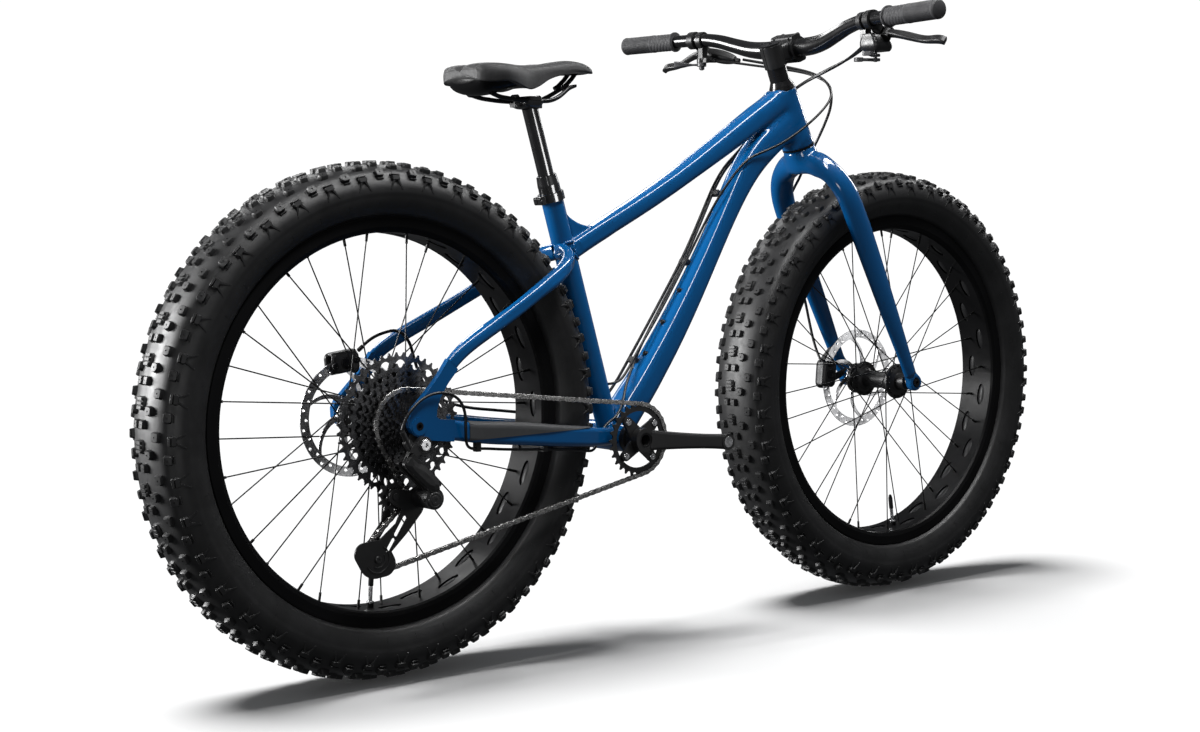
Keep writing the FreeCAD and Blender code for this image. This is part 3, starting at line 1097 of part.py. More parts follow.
front_b = Part.makeBox(80, 80, 80, V(0.35, -40, -40))
front_b.Placement = FreeCAD.Placement(BAR_C, FreeCAD.Rotation(V(0, 0, 1), STEER))
bore = ycyl(BAR_C.x, BAR_C.z, -40, 40, 16.0)
window = Part.makeBox(40, 20, 20, V(8, -10, -10))
window.Placement = FreeCAD.Placement(BAR_C, FreeCAD.Rotation(V(0, 0, 1), STEER))
fb_holes, fb = [], []
for sy in (-17.5, 17.5):
    for sz in (-19.5, 19.5):
        p = BAR_C + V(0, sy, 0) + STEER * sz
        fb_holes.append(cyl(p - STEM_D * 14, STEM_D, 2.6, 40))
        fb.append(cut(fuse([cyl(p - STEM_D * 9, STEM_D, 2.45, 19.6), cyl(p + STEM_D * 10.6, STEM_D, 4.2, 4.0)]),
                      [cyl(p + STEM_D * 12.5, STEM_D, 2.0, 4)]))
stem = fuse([clampL, ext, ball.common(back)])
slit = Part.makeBox(30, 1.4, 60, V(-30, -0.7, -30))
slit.Placement = FreeCAD.Placement(stem_c, FreeCAD.Rotation(V(0, 0, 1), STEER))
stem = cut(stem, [cyl(st(STEM_LO - 5), STEER, 14.4, 60), bore, comp(fb_holes), front_b, slit])
put("stem", max(stem.Solids, key=lambda s: s.Volume))
plate = cut(ball.common(front_b), [bore, window, comp(fb_holes)])
put("stem_faceplate", comp([max(plate.Solids, key=lambda s: s.Volume)] + fb))

# handlebar ---------------------------------------------------------------------------------------------------------
BAR = [(0, BAR_C.x, BAR_C.z, 15.9), (30, BAR_C.x, BAR_C.z, 15.9), (58, BAR_C.x - 0.5, BAR_C.z + 0.8, 15.5),
       (90, 299, 973.5, 14.2), (122, 293.5, 982, 13.0), (155, 288, 991.5, 12.2), (188, 282.5, 997, 11.5), (225, 277, 998.5, 11.1),
       (260, 272, 998.6, 11.1), (320, 263.5, 998.6, 11.1), (379.0, 255.2, 998.6, 11.1)]


def smooth(y):
    """Monotone cubic through the bar table."""
    n = len(BAR)
    for i in range(n - 1):
        if y <= BAR[i + 1][0]:
            break
    y0, y1 = BAR[i][0], BAR[i + 1][0]
    h = y1 - y0
    t = (y - y0) / h
    out = []
    for c in (1, 2, 3):
        def slope(j):
            if j <= 1 or j >= n - 3:
                return (BAR[min(j + 1, n - 1)][c] - BAR[max(j, 0)][c]) / (BAR[min(j + 1, n - 1)][0] - BAR[max(j, 0)][0]) \
                    if j < n - 1 else (BAR[j][c] - BAR[j - 1][c]) / (BAR[j][0] - BAR[j - 1][0])
            a = (BAR[j][c] - BAR[j - 1][c]) / (BAR[j][0] - BAR[j - 1][0])
            b = (BAR[j + 1][c] - BAR[j][c]) / (BAR[j + 1][0] - BAR[j][0])
            return 0.5 * (a + b)
        m0, m1 = slope(i), slope(i + 1)
        p0, p1 = BAR[i][c], BAR[i + 1][c]
        out.append((2 * t ** 3 - 3 * t ** 2 + 1) * p0 + (t ** 3 - 2 * t ** 2 + t) * h * m0 +
                   (-2 * t ** 3 + 3 * t ** 2) * p1 + (t ** 3 - t ** 2) * h * m1)
    return (y, out[0], out[1], out[2])


half = [smooth(y) for y in [0, 30] + [36 + 6.0 * k for k in range(38)] + [379.0]]
half[0] = (0, BAR_C.x, BAR_C.z, 15.9)
half[1] = (30, BAR_C.x, BAR_C.z, 15.9)
full = [(-y, x, z, r) for y, x, z, r in reversed(half[1:])] + half
bw, bwi = [], []
for i, (y, x, z, r) in enumerate(full):
    a, b = full[max(0, i - 1)], full[min(len(full) - 1, i + 1)]
    d = V(b[1] - a[1], b[0] - a[0], b[2] - a[2])
    if abs(y) <= 30 or abs(y) > 370:
        d = V(0, 1, 0) if abs(y) <= 30 else d
    bw.append(Part.Wire([Part.Circle(V(x, y, z), d, r).toShape()]))
    bwi.append(Part.Wire([Part.Circle(V(x, y, z), d, r - 2.0).toShape()]))
bar_core = loft(bw, True)
handlebar = bar_core.cut(loft(bwi, True))
put("handlebar", handlebar)


def bar_at(y):
    s = abs(y)
    for (y0, x0, z0, r0), (y1, x1, z1, r1) in zip(BAR[:-1], BAR[1:]):
        if s <= y1:
            f = (s - y0) / (y1 - y0)
            return V(x0 + (x1 - x0) * f, y, z0 + (z1 - z0) * f)
    return V(BAR[-1][1], y, BAR[-1][2])


BARD = unit(V(bar_at(379) - bar_at(260)))           # outward direction of the left bar end
g0 = bar_at(258.0)
g_len = (bar_at(379.0) - g0).Length
grip = fuse([cyl(g0, BARD, 18.0, 3.5), cyl(g0 + BARD * 3.0, BARD, 16.0, g_len - 3.0 + 1.6)])
grip = cut(grip, [cyl(g0 - BARD * 5, BARD, 11.25, g_len + 5.2)])
put("grips", comp([grip, mirror_y(grip)]))

# brake master cylinders and levers -----------------------------------------------------------------------------------
LE = unit(V(0.80, 0, -0.60))                # lever plane: forward and down from the bar
LN = unit(V(0.60, 0, 0.80))                 # lever pivot direction


def lp(y, e, n=0.0):
    """Point in the left lever plane: y along the bar, e away from the bar, n along the pivot."""
    p = bar_at(y)
    return p + LE * e + LN * n


cy = 216.0
cb = bar_at(cy)
ring_c = cut(cyl(cb - BARD * 6.5, BARD, 15.6, 13.0), [cyl(cb - BARD * 20, BARD, 11.6, 40)])
PIV = lp(226.0, 37.0)
neck = loft([rr_wire(lp(214, 13.0), (0, 1, 0), LN, 7.0, 7.5, 3), rr_wire(lp(212, 32.0), (0, 1, 0), LN, 9.0, 8.5, 3)])
m0, m1 = lp(218.0, 34.0), lp(146.0, 50.0)
md = unit(m1 - m0)
master = loft([rr_wire(m0, md.cross(LN), LN, 9.0, 8.5, 5.0), rr_wire(m0 + md * 14, md.cross(LN), LN, 10.5, 9.5, 6.0),
               rr_wire(m0 + md * 55, md.cross(LN), LN, 9.0, 9.0, 6.0), rr_wire(m0 + md * 66, md.cross(LN), LN, 6.0, 6.5, 4.5)])
nut = cyl(m0 + md * 66, md, 4.6, 9.0)
fork_u = [slab(PIV + LN * (s * 8.2) - BARD * 6.0, (0, 1, 0), LE, 13.0, 8.0, 6.0, LN, 3.2) for s in (-1, 1)]
clear = cyl(PIV - LN * 6.4, LN, 12.0, 12.8)
blade_room = slab(PIV + V(0, 26, 0), (0, 1, 0), LE, 30.0, 40.0, 3.0, LN, 12.8)
body = fuse([ring_c, neck, master, nut])
body = cut(body, [clear, blade_room])
body = max(body.Solids, key=lambda s: s.Volume)
body = cut(fuse([body] + fork_u), [cyl(cb - BARD * 20, BARD, 11.6, 40)])
body = max(body.Solids, key=lambda s: s.Volume)
pin = cyl(PIV - LN * 9.8, LN, 2.5, 19.6)
body = fuse([body, pin])
put("brake_masters", comp([body, mirror_y(body)]))

BL = [(219.0, 37.0, 7.0), (236.0, 38.5, 6.4), (256.0, 44.5, 5.0), (284.0, 57.0, 4.6), (312.0, 64.0, 5.0), (332.0, 67.0, 5.6),
      (338.5, 71.0, 5.0)]
bsec = []
for i, (y, e, hw) in enumerate(BL):
    a, b = BL[max(0, i - 1)], BL[min(len(BL) - 1, i + 1)]
    d = lp(b[0], b[1]) - lp(a[0], a[1])
    d.normalize()
    wid = 5.4 if i < 2 else 6.6
    bsec.append(rr_wire(lp(y, e), LN, d.cross(LN), wid, hw, 3.2))
blade = fuse([loft(bsec), cyl(PIV - LN * 5.6, LN, 8.4, 11.2)])
blade = cut(blade, [cyl(PIV - LN * 20, LN, 2.8, 40)])
put("brake_lever_left", blade)
put("brake_lever_right", mirror_y(blade))

# shifter on the right, dropper remote on the left -------------------------------------------------------------------------
sy = -197.0
sb = bar_at(sy)
BARR = V(BARD.x, -BARD.y, BARD.z)
sh_clamp = cut(cyl(sb - BARR * 5.0, BARR, 15.0, 10.0), [cyl(sb - BARR * 20, BARR, 12.2, 40)])
sh_c = V(297, -205, 962)
sh_body = loft([rr_wire(sh_c + V(-7, 0, 14), (1, 0, 0), (0, 1, 0), 13, 12, 6),
                rr_wire(sh_c + V(0, -2, 4), (1, 0, 0), (0, 1, 0), 20, 19, 8),
                rr_wire(sh_c + V(2, -3, -8), (1, 0, 0), (0, 1, 0), 21, 20, 8),
                rr_wire(sh_c + V(4, -3, -14), (1, 0, 0), (0, 1, 0), 17, 16, 7)])
sh_neck = box(278, 292, -203, -191, 968, 990)
sh_out = cyl(V(303, -180, 958), unit(V(0.35, 0.93, -0.05)), 4.0, 16.0)
SP = V(297, -208, 948)                      # paddle pivot, vertical
sh_post = cyl(SP - V(0, 0, 17.2), (0, 0, 1), 3.0, 20.0)
master_r = mirror_y(body)
shifter = cut(fuse([sh_clamp, sh_neck, sh_body, sh_out]), [cyl(sb - BARR * 20, BARR, 12.2, 40), master_r,
              mirror_y(slab(PIV + V(0, 20, 0), (0, 1, 0), LE, 34.0, 44.0, 3.0, LN, 13.4))])
shifter = max(shifter.Solids, key=lambda s: s.Volume)
shifter = fuse([shifter, sh_post])
put("shifter_body", shifter)


def paddle(z, ang, reach, w):
    """Flat thumb lever: eye round the post, tapering arm and a rounded thumb pad."""
    u = V(math.cos(ang), math.sin(ang), 0)
    v = V(-u.y, u.x, 0)
    base = V(SP.x, SP.y, z - 2.2)
    pts = [base + v * 6.0, base + u * (reach - 8) + v * (w * 0.62), base + u * (reach - 8) - v * (w * 0.62), base - v * 6.0]
    armp = Part.Face(Part.makePolygon(pts + [pts[0]])).extrude(V(0, 0, 4.4))
    pad = slab(base + u * (reach - 5) + V(0, 0, 2.2), u, v, 7.0, w, 5.0, V(0, 0, 1), 6.4)
    return cut(fuse([cyl(base, (0, 0, 1), 8.0, 4.4), armp, pad]), [cyl(base - V(0, 0, 20), (0, 0, 1), 3.3, 40)])


put("shift_paddle_main", paddle(941.6, math.radians(205), 44.0, 9.0))
put("shift_paddle_release", paddle(934.2, math.radians(152), 34.0, 7.5))

ry = 197.0
rb = bar_at(ry)
rm_clamp = cut(cyl(rb - BARD * 5.0, BARD, 15.0, 10.0), [cyl(rb - BARD * 20, BARD, 12.2, 40)])
RP = V(283, 200, 958)                       # remote lever pivot, vertical
rm_neck = box(277, 289, 192, 203, 962, 992)
rm_post = cyl(RP - V(0, 0, 14.0), (0, 0, 1), 3.0, 22.0)
rm_base = cyl(RP - V(0, 0, 0.0), (0, 0, 1), 9.0, 7.0)
rm_out = cyl(V(289, 190, 961), unit(V(0.45, -0.89, -0.05)), 3.8, 15.0)
rm_arm = box(279, 293, 184, 200, 957.4, 965)
remote = cut(fuse([rm_clamp, rm_neck, rm_base, rm_arm, rm_out]), [cyl(rb - BARD * 20, BARD, 12.2, 40), body,
             slab(PIV + V(0, 20, 0), (0, 1, 0), LE, 34.0, 44.0, 3.0, LN, 13.4)])
remote = max(remote.Solids, key=lambda s: s.Volume)
remote = fuse([remote, rm_post])
put("dropper_remote", remote)
ru = unit(V(-0.72, 0.69, 0))
rv = V(-ru.y, ru.x, 0)
rbz = RP - V(0, 0, 4.2)
rl = fuse([cyl(rbz - V(0, 0, 3.0), (0, 0, 1), 8.5, 6.4),
           loft([rr_wire(rbz + ru * 4, rv, (0, 0, 1), 5.5, 3.0, 2), rr_wire(rbz + ru * 24, rv, (0, 0, 1), 4.5, 2.8, 2),
                 rr_wire(rbz + ru * 36, rv, (0, 0, 1), 9.0, 5.0, 3), rr_wire(rbz + ru * 50, rv, (0, 0, 1), 8.0, 6.0, 3)]),
           cyl(rbz - V(0, 0, 8.6), (0, 0, 1), 5.0, 6.0)])
rl = cut(rl, [cyl(rbz - V(0, 0, 30), (0, 0, 1), 3.3, 60)])
put("dropper_remote_lever", rl)

# brake calipers ---------------------------------------------------------------------------------------------------------------
def caliper(cx, cz, ang, ry_):
    """Two halves over the rotor at plane ry_, long side along ang (degrees) in the XZ plane."""
    u = V(math.cos(math.radians(ang)), 0, math.sin(math.radians(ang)))
    v = V(-u.z, 0, u.x)
    c = V(cx, 0, cz)
    out = loft([rr_wire(c + V(0, ry_ + 4.6, 0), u, v, 27, 17, 9), rr_wire(c + V(0, ry_ + 12, 0), u, v, 26, 16.5, 9),
                rr_wire(c + V(0, ry_ + 16.5, 0), u, v, 20, 12, 8)])
    inn = loft([rr_wire(c + V(0, ry_ - 4.6, 0), u, v, 25, 16, 9), rr_wire(c + V(0, ry_ - 9.4, 0), u, v, 22, 14, 9)])
    bridge = slab(c + V(0, ry_, 0) + v * 14.6, u, V(0, 1, 0), 22, 4.8, 1.0, v, 5.0)
    piston = [cyl(c + V(0, ry_ + 16.0, 0), (0, 1, 0), 9.5, 2.2)]
    pads = [slab(c + V(0, ry_ + s * 2.9, 0) - v * 4, u, v, 14, 9, 3, (0, 1, 0), 3.1) for s in (-1, 1)]
    return fuse([out, inn, bridge] + piston), pads, u, v


# rear caliper above the axle, inside the left stay
rc_body, rc_pads, ru_, rv_ = caliper(-556.0, 463.0, 8.0, REAR_ROTOR_Y)
rc_mount = [hull_xz([(-536, 470, 6.0), (-528, 452, 8.0)], 84.0, DROP_IN - 0.05), ]
rc_body = fuse([rc_body] + rc_mount)
banjo = fuse([cyl((-533.0, 79.0, 474.0), (0, 1, 0), 5.2, 14.0), cyl((-526.0, 80.0, 478.0), unit(V(0.8, 0, 0.6)), 3.6, 12.0)])
put("rear_caliper", comp([fuse([rc_body, banjo])] + rc_pads))

fc_body, fc_pads, fu_, fv_ = caliper(463.0, 392.0, 85.0, FRONT_ROTOR_Y)
fc_mount = [hull_xz([(470, 410, 7.0), (500, 437, 7.0)], 70.0, 82.0), hull_xz([(478, 376, 7.0), (528, 392, 6.0)], 71.0, 76.5)]
fc_body = cut(fuse([fc_body] + fc_mount), [fork, ycyl(FA[0], FA[2], 55, 100, 19.5)])
fc_body = max(fc_body.Solids, key=lambda s: s.Volume)
put("front_caliper", comp([fc_body] + fc_pads))

# cables -------------------------------------------------------------------------------------------------------------------------
def dt_face(z_c, i0, i1, f, off, y):
    (x0, z0), (dx0, dz0), a0, b0 = DT[i0]
    (x1, z1), (dx1, dz1), a1, b1 = DT[i1]
    cx, cz = x0 + (x1 - x0) * f, z0 + (z1 - z0) * f
    dx, dz = dx0 + (dx1 - dx0) * f, dz0 + (dz1 - dz0) * f
    l = math.hypot(dx, dz)
    a = a0 + (a1 - a0) * f
    return (cx - dz / l * (a + off), y, cz + dx / l * (a + off))


R_HOSE, R_SHIFT, R_DROP = 2.5, 2.2, 2.2
rear_hose = [(337, -149, 962.5), (352, -118, 955), (366, -70, 944), (372, -20, 932), (362, 22, 914), (338, 44, 890), (306, 47, 862),
             (262, 40, 828), (222, 33, 796), dt_face(0, 3, 4, 0.35, 7.5, 27)]
rear_hose += [dt_face(0, 2, 3, 0.55, 6.0, 23), dt_face(0, 2, 3, 0.1, 5.5, 23.5), dt_face(0, 1, 2, 0.55, 5.5, 24), dt_face(0, 1, 2, 0.12, 5.0, 25),
              (-72, 28, 398), (-100, 33.5, 371), (-134, 41, 360), (-172, 58, 360), (-216, 75.5, 364), (-266, 82, 371), (-322, 87, 378),
              (-368, 90, 392), (-402, 92, 420), (-418, 89, 456), (-431, 83, 490), (-455, 80, 508), (-484, 79.5, 503), (-504, 80, 495),
              (-515.0, 80, 486.8)]
shift_hs = [(309.5, -163, 957), (330, -128, 950), (350, -82, 940), (357, -34, 928), (347, 12, 910), (326, 37, 884), (296, 40.5, 856),
            (255, 34, 820), (214, 28.5, 788), dt_face(0, 3, 4, 0.30, 7.2, 20.5)]
shift_hs += [dt_face(0, 2, 3, 0.52, 5.6, 16.5), dt_face(0, 2, 3, 0.08, 5.2, 16.5), dt_face(0, 1, 2, 0.5, 5.0, 16), dt_face(0, 1, 2, 0.1, 5.0, 12),
             (-75, -9, 406.5), (-95, -26.5, 380), (-114, -33.5, 359.5), (-142, -40.5, 350), (-161, -44, 330), (-178, -55, 310.5), (-214, -71.5, 315.5),
             (-262, -79, 322.5), (-318, -84, 327.0), (-376, -89, 332), (-420, -93, 337.5), (-446, -99, 339), (-462, -109, 348), (-467, -116, 372),
             (-468, -117, 398), (-480, -116, 419), (-506, -114, 428), (-535, -113, 423), (-560, -113.7, 405), (-571.2, -114, 389.0),
             (-575.4, -114, 376.7)]
drop_hs = [(296.5, 175.5, 960.2), (309, 149, 956), (334, 108, 948), (362, 62, 940), (381, 16, 929), (383, -24, 910), (367, -44, 885), (337, -47, 858),
           (298, -42, 829), (258, -34, 804), (216, -28, 788), (181, -22, 775)]
drop_hs += [dt_face(0, 2, 3, 0.95, 8.5, -6), dt_face(0, 2, 3, 0.62, 6.5, 5), dt_face(0, 2, 3, 0.2, 5.8, 9.3), dt_face(0, 1, 2, 0.55, 5.4, 9.5), dt_face(0, 1, 2, 0.12, 11.0, 6),
            (-66, 3, 421), (-86, 1, 409), (-105, 0, 409)]
c1 = hose("rear brake hose", rear_hose, R_HOSE)
c2 = hose("shift housing", shift_hs, R_SHIFT)
c3 = hose("dropper housing", drop_hs, R_DROP)
c3 = cut(c3, [seat_outer])
c3 = max(c3.Solids, key=lambda s: s.Volume)
put("control_cables", comp([c1, c2, c3]))

front_hose = [(337, 149, 962.5), (354, 116, 955), (378, 66, 944), (396, 22, 931), (398, -12, 908), (391, -20, 872), (381, -10, 835), (377, 10, 800),
              (381, 34, 775), (390, 56, 750), (397, 78, 731), (399, 94.5, 709), (400, 102, 684), (407, 102.8, 646), (424, 101.5, 600), (440, 101, 556),
              (452, 100.5, 516), (459, 98, 482), (462.5, 92, 452), (463.5, 83, 430), (462.5, 75.5, 419)]
fhs = hose("front brake hose", front_hose, 2.5)
fhs = cut(fhs, [fc_body])
put("front_brake_hose", max(fhs.Solids, key=lambda s: s.Volume))

# cable clips and bolts on the frame ----------------------------------------------------------------------------------------------
hw = []
for i0, i1, f, ym in ((2, 3, 0.93, 16.0), (2, 3, 0.10, 16.5), (1, 2, 0.03, 15.5)):
    p = V(dt_face(0, i0, i1, f, 2.6, ym))
    (dx0, dz0), (dx1, dz1) = DT[i0][1], DT[i1][1]
    d = unit(V(dx0 + (dx1 - dx0) * f, 0, dz0 + (dz1 - dz0) * f))
    n = V(-d.z, 0, d.x)
    hw.append(cut(slab(p, d, (0, 1, 0), 4.5, 10.5, 2.0, n, 9.6), [dt_o, c1, c2, c3]))
for bx, bz in ((38, 558), (4, 506), (-29, 455)):
    # button head bolt on the upper face of the down tube
    j = 1
    (x0, z0), (dx0, dz0), a0, b0 = DT[1]
    (x1, z1), (dx1, dz1), a1, b1 = DT[2]
    f = (bz - 437.0) / (589.0 - 437.0)
    p = V(dt_face(0, 1, 2, f, -0.2, -1.0))
    d = unit(V(dx0 + (dx1 - dx0) * f, 0, dz0 + (dz1 - dz0) * f))
    n = V(-d.z, 0, d.x)
    b = cut(cone(p - n * 2.0, n, 4.6, 3.6, 4.6), [dt_o, cyl(p + n * 1.2, n, 1.9, 4)])
    hw.append(max(b.Solids, key=lambda s: s.Volume))
for cxx, cyy, czz in ((-300, -83, 327.0), (-432, -94.5, 338.5)):
    hw.append(cut(box(cxx - 4, cxx + 4, cyy - 5, cyy + 5, czz - 4.5, czz + 10), [cs_o, c2]))
hw = [max(h.Solids, key=lambda s: s.Volume) for h in hw if h.Solids]
put("frame_hardware", comp(hw))

for name, shape in NODES.items():
    shape.exportStep(os.path.join(OUT, name + ".step"))
print("nodes", len(NODES))
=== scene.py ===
import bpy
import bmesh
import json
import math
import numpy as np
from mathutils import Vector, Matrix
from mathutils.bvhtree import BVHTree

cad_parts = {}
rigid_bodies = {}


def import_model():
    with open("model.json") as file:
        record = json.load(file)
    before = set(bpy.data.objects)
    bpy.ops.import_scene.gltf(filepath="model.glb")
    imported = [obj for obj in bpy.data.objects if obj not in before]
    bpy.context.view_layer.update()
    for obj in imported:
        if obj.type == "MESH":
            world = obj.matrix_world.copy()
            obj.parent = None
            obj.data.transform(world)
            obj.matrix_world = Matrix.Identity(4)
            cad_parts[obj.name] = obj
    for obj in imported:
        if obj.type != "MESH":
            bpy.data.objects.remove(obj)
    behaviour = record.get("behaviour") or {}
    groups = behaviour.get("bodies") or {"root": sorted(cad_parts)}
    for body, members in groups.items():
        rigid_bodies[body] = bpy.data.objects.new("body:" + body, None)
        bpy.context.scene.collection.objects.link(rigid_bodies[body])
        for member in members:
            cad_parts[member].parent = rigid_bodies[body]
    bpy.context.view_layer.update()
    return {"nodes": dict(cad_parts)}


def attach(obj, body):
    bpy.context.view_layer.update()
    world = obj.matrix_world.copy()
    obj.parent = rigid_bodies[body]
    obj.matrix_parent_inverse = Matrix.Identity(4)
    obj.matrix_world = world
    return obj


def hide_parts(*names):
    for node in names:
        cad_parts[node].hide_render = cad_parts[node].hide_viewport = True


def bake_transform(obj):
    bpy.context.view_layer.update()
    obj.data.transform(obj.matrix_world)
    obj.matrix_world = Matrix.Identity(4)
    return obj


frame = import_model()
NODE = frame["nodes"]
scene = bpy.context.scene
scene.view_settings.view_transform = "Standard"
scene.view_settings.look = "None"

# ---------------------------------------------------------------------------------------------
# camera
# ---------------------------------------------------------------------------------------------
YAW, PITCH, ROLL = math.radians(50.781), math.radians(-4.271), math.radians(-0.272)
EYE = Vector((-2.006293, -2.309876, 0.661609))
cd = Vector((math.cos(PITCH) * math.cos(YAW), math.cos(PITCH) * math.sin(YAW), math.sin(PITCH)))
cr = cd.cross(Vector((0, 0, 1))).normalized()
cu = cr.cross(cd)
cr2 = cr * math.cos(ROLL) + cu * math.sin(ROLL)
cu2 = cu * math.cos(ROLL) - cr * math.sin(ROLL)
cam_data = bpy.data.cameras.new("camera")
cam_data.sensor_fit = "HORIZONTAL"
cam_data.sensor_width = 36.0
cam_data.lens = 1857.271 * 36.0 / 1200.0
cam_data.clip_start = 0.05
cam_data.clip_end = 200.0
cam = bpy.data.objects.new("camera", cam_data)
scene.collection.objects.link(cam)
cam.matrix_world = Matrix(((cr2.x, cu2.x, -cd.x, EYE.x), (cr2.y, cu2.y, -cd.y, EYE.y), (cr2.z, cu2.z, -cd.z, EYE.z), (0, 0, 0, 1)))
scene.camera = cam


# ---------------------------------------------------------------------------------------------
# studio: pale floor, even surround, soft boxes
# ---------------------------------------------------------------------------------------------
def node_tree(idblock):
    idblock.use_nodes = True
    nt = idblock.node_tree
    nt.nodes.clear()
    return nt


world = bpy.data.worlds.new("studio")
scene.world = world
nt = node_tree(world)
w_out = nt.nodes.new("ShaderNodeOutputWorld")
w_seen = nt.nodes.new("ShaderNodeBackground")
w_seen.inputs["Color"].default_value = (1, 1, 1, 1)
w_seen.inputs["Strength"].default_value = 1.05
w_fill = nt.nodes.new("ShaderNodeBackground")
w_fill.inputs["Color"].default_value = (0.93, 0.96, 1.0, 1)
w_fill.inputs["Strength"].default_value = 0.085
w_path = nt.nodes.new("ShaderNodeLightPath")
w_mix = nt.nodes.new("ShaderNodeMixShader")
nt.links.new(w_path.outputs["Is Camera Ray"], w_mix.inputs["Fac"])
nt.links.new(w_fill.outputs[0], w_mix.inputs[1])
nt.links.new(w_seen.outputs[0], w_mix.inputs[2])
nt.links.new(w_mix.outputs[0], w_out.inputs["Surface"])


def area_light(name, loc, target, sx, sy, power, colour=(1, 1, 1)):
    data = bpy.data.lights.new(name, "AREA")
    data.shape = "RECTANGLE"
    data.size, data.size_y = sx, sy
    data.energy = power
    data.color = colour
    o = bpy.data.objects.new(name, data)
    scene.collection.objects.link(o)
    o.visible_camera = False
    o.location = loc
    o.rotation_euler = (Vector(target) - Vector(loc)).to_track_quat("-Z", "Y").to_euler()
    return o


def sun_light(name, direction, strength, angle):
    data = bpy.data.lights.new(name, "SUN")
    data.energy = strength
    data.angle = math.radians(angle)
    o = bpy.data.objects.new(name, data)
    scene.collection.objects.link(o)
    o.rotation_euler = Vector(direction).to_track_quat("-Z", "Y").to_euler()
    return o


# image left is (-0.775, 0.632, 0) in the object's frame
BIKE_LIGHTS = [
    area_light("key_left_rear", (-3.0, 2.2, 1.25), (-0.4, 0.0, 0.5), 1.3, 1.7, 300),
    area_light("overhead", (0.25, -0.70, 2.5), (0.0, 0.0, 0.6), 3.2, 0.34, 84),
    area_light("far_side", (0.6, 2.9, 2.4), (0.0, 0.0, 0.6), 2.2, 0.35, 26),
    area_light("nose_kick", (3.0, 0.5, 1.9), (0.4, 0.0, 0.7), 0.3, 1.1, 20),
    area_light("rear_low", (-2.6, -2.6, 0.5), (-0.2, 0.0, 0.5), 0.9, 0.5, 12),
    sun_light("top_soft", (0.22, 0.06, -1.0), 0.55, 20)]
drive_kick = area_light("drive_kick", (2.0, -3.1, 0.9), (-0.4, 0.0, 0.35), 1.6, 0.9, 11)
bright_kick = area_light("bright_kick", (2.3, -2.9, 0.35), (0.0, 0.0, 0.4), 2.0, 1.0, 13)
post_kick = area_light("post_kick", (0.06, -2.4, 0.33), (-0.32, 0.0, 0.75), 1.0, 0.6, 60)
floor_sun = sun_light("floor_soft", (0.20, -0.17, -1.0), 3.75, 27)


def floor_piece():
    bm = bmesh.new()
    bmesh.ops.create_circle(bm, cap_ends=True, radius=60.0, segments=96)
    me = bpy.data.meshes.new("studio_floor")
    bm.to_mesh(me)
    bm.free()
    o = bpy.data.objects.new("studio_floor", me)
    scene.collection.objects.link(o)
    o.location = (0, 0, -0.0006)
    m = bpy.data.materials.new("studio_floor")
    t = node_tree(m)
    out = t.nodes.new("ShaderNodeOutputMaterial")
    b = t.nodes.new("ShaderNodeBsdfPrincipled")
    b.inputs["Base Color"].default_value = (0.88, 0.88, 0.88, 1)
    b.inputs["Roughness"].default_value = 0.9
    b.inputs["Specular IOR Level"].default_value = 0.1
    b.inputs["Emission Color"].default_value = (1, 1, 1, 1)
    b.inputs["Emission Strength"].default_value = 0.02
    t.links.new(b.outputs[0], out.inputs["Surface"])
    me.materials.append(m)
    o.visible_diffuse = False
    o.visible_glossy = False
    # one overhead light falls on the floor alone and the others leave it out, so that the ground shadow stays deep
    only = bpy.data.collections.new("floor_only")
    only.objects.link(o)
    floor_sun.light_linking.receiver_collection = only
    rest = bpy.data.collections.new("all_but_floor")
    rest.objects.link(o)
    rest.collection_objects[0].light_linking.link_state = "EXCLUDE"
    for l in BIKE_LIGHTS:
        l.light_linking.receiver_collection = rest


floor_piece()


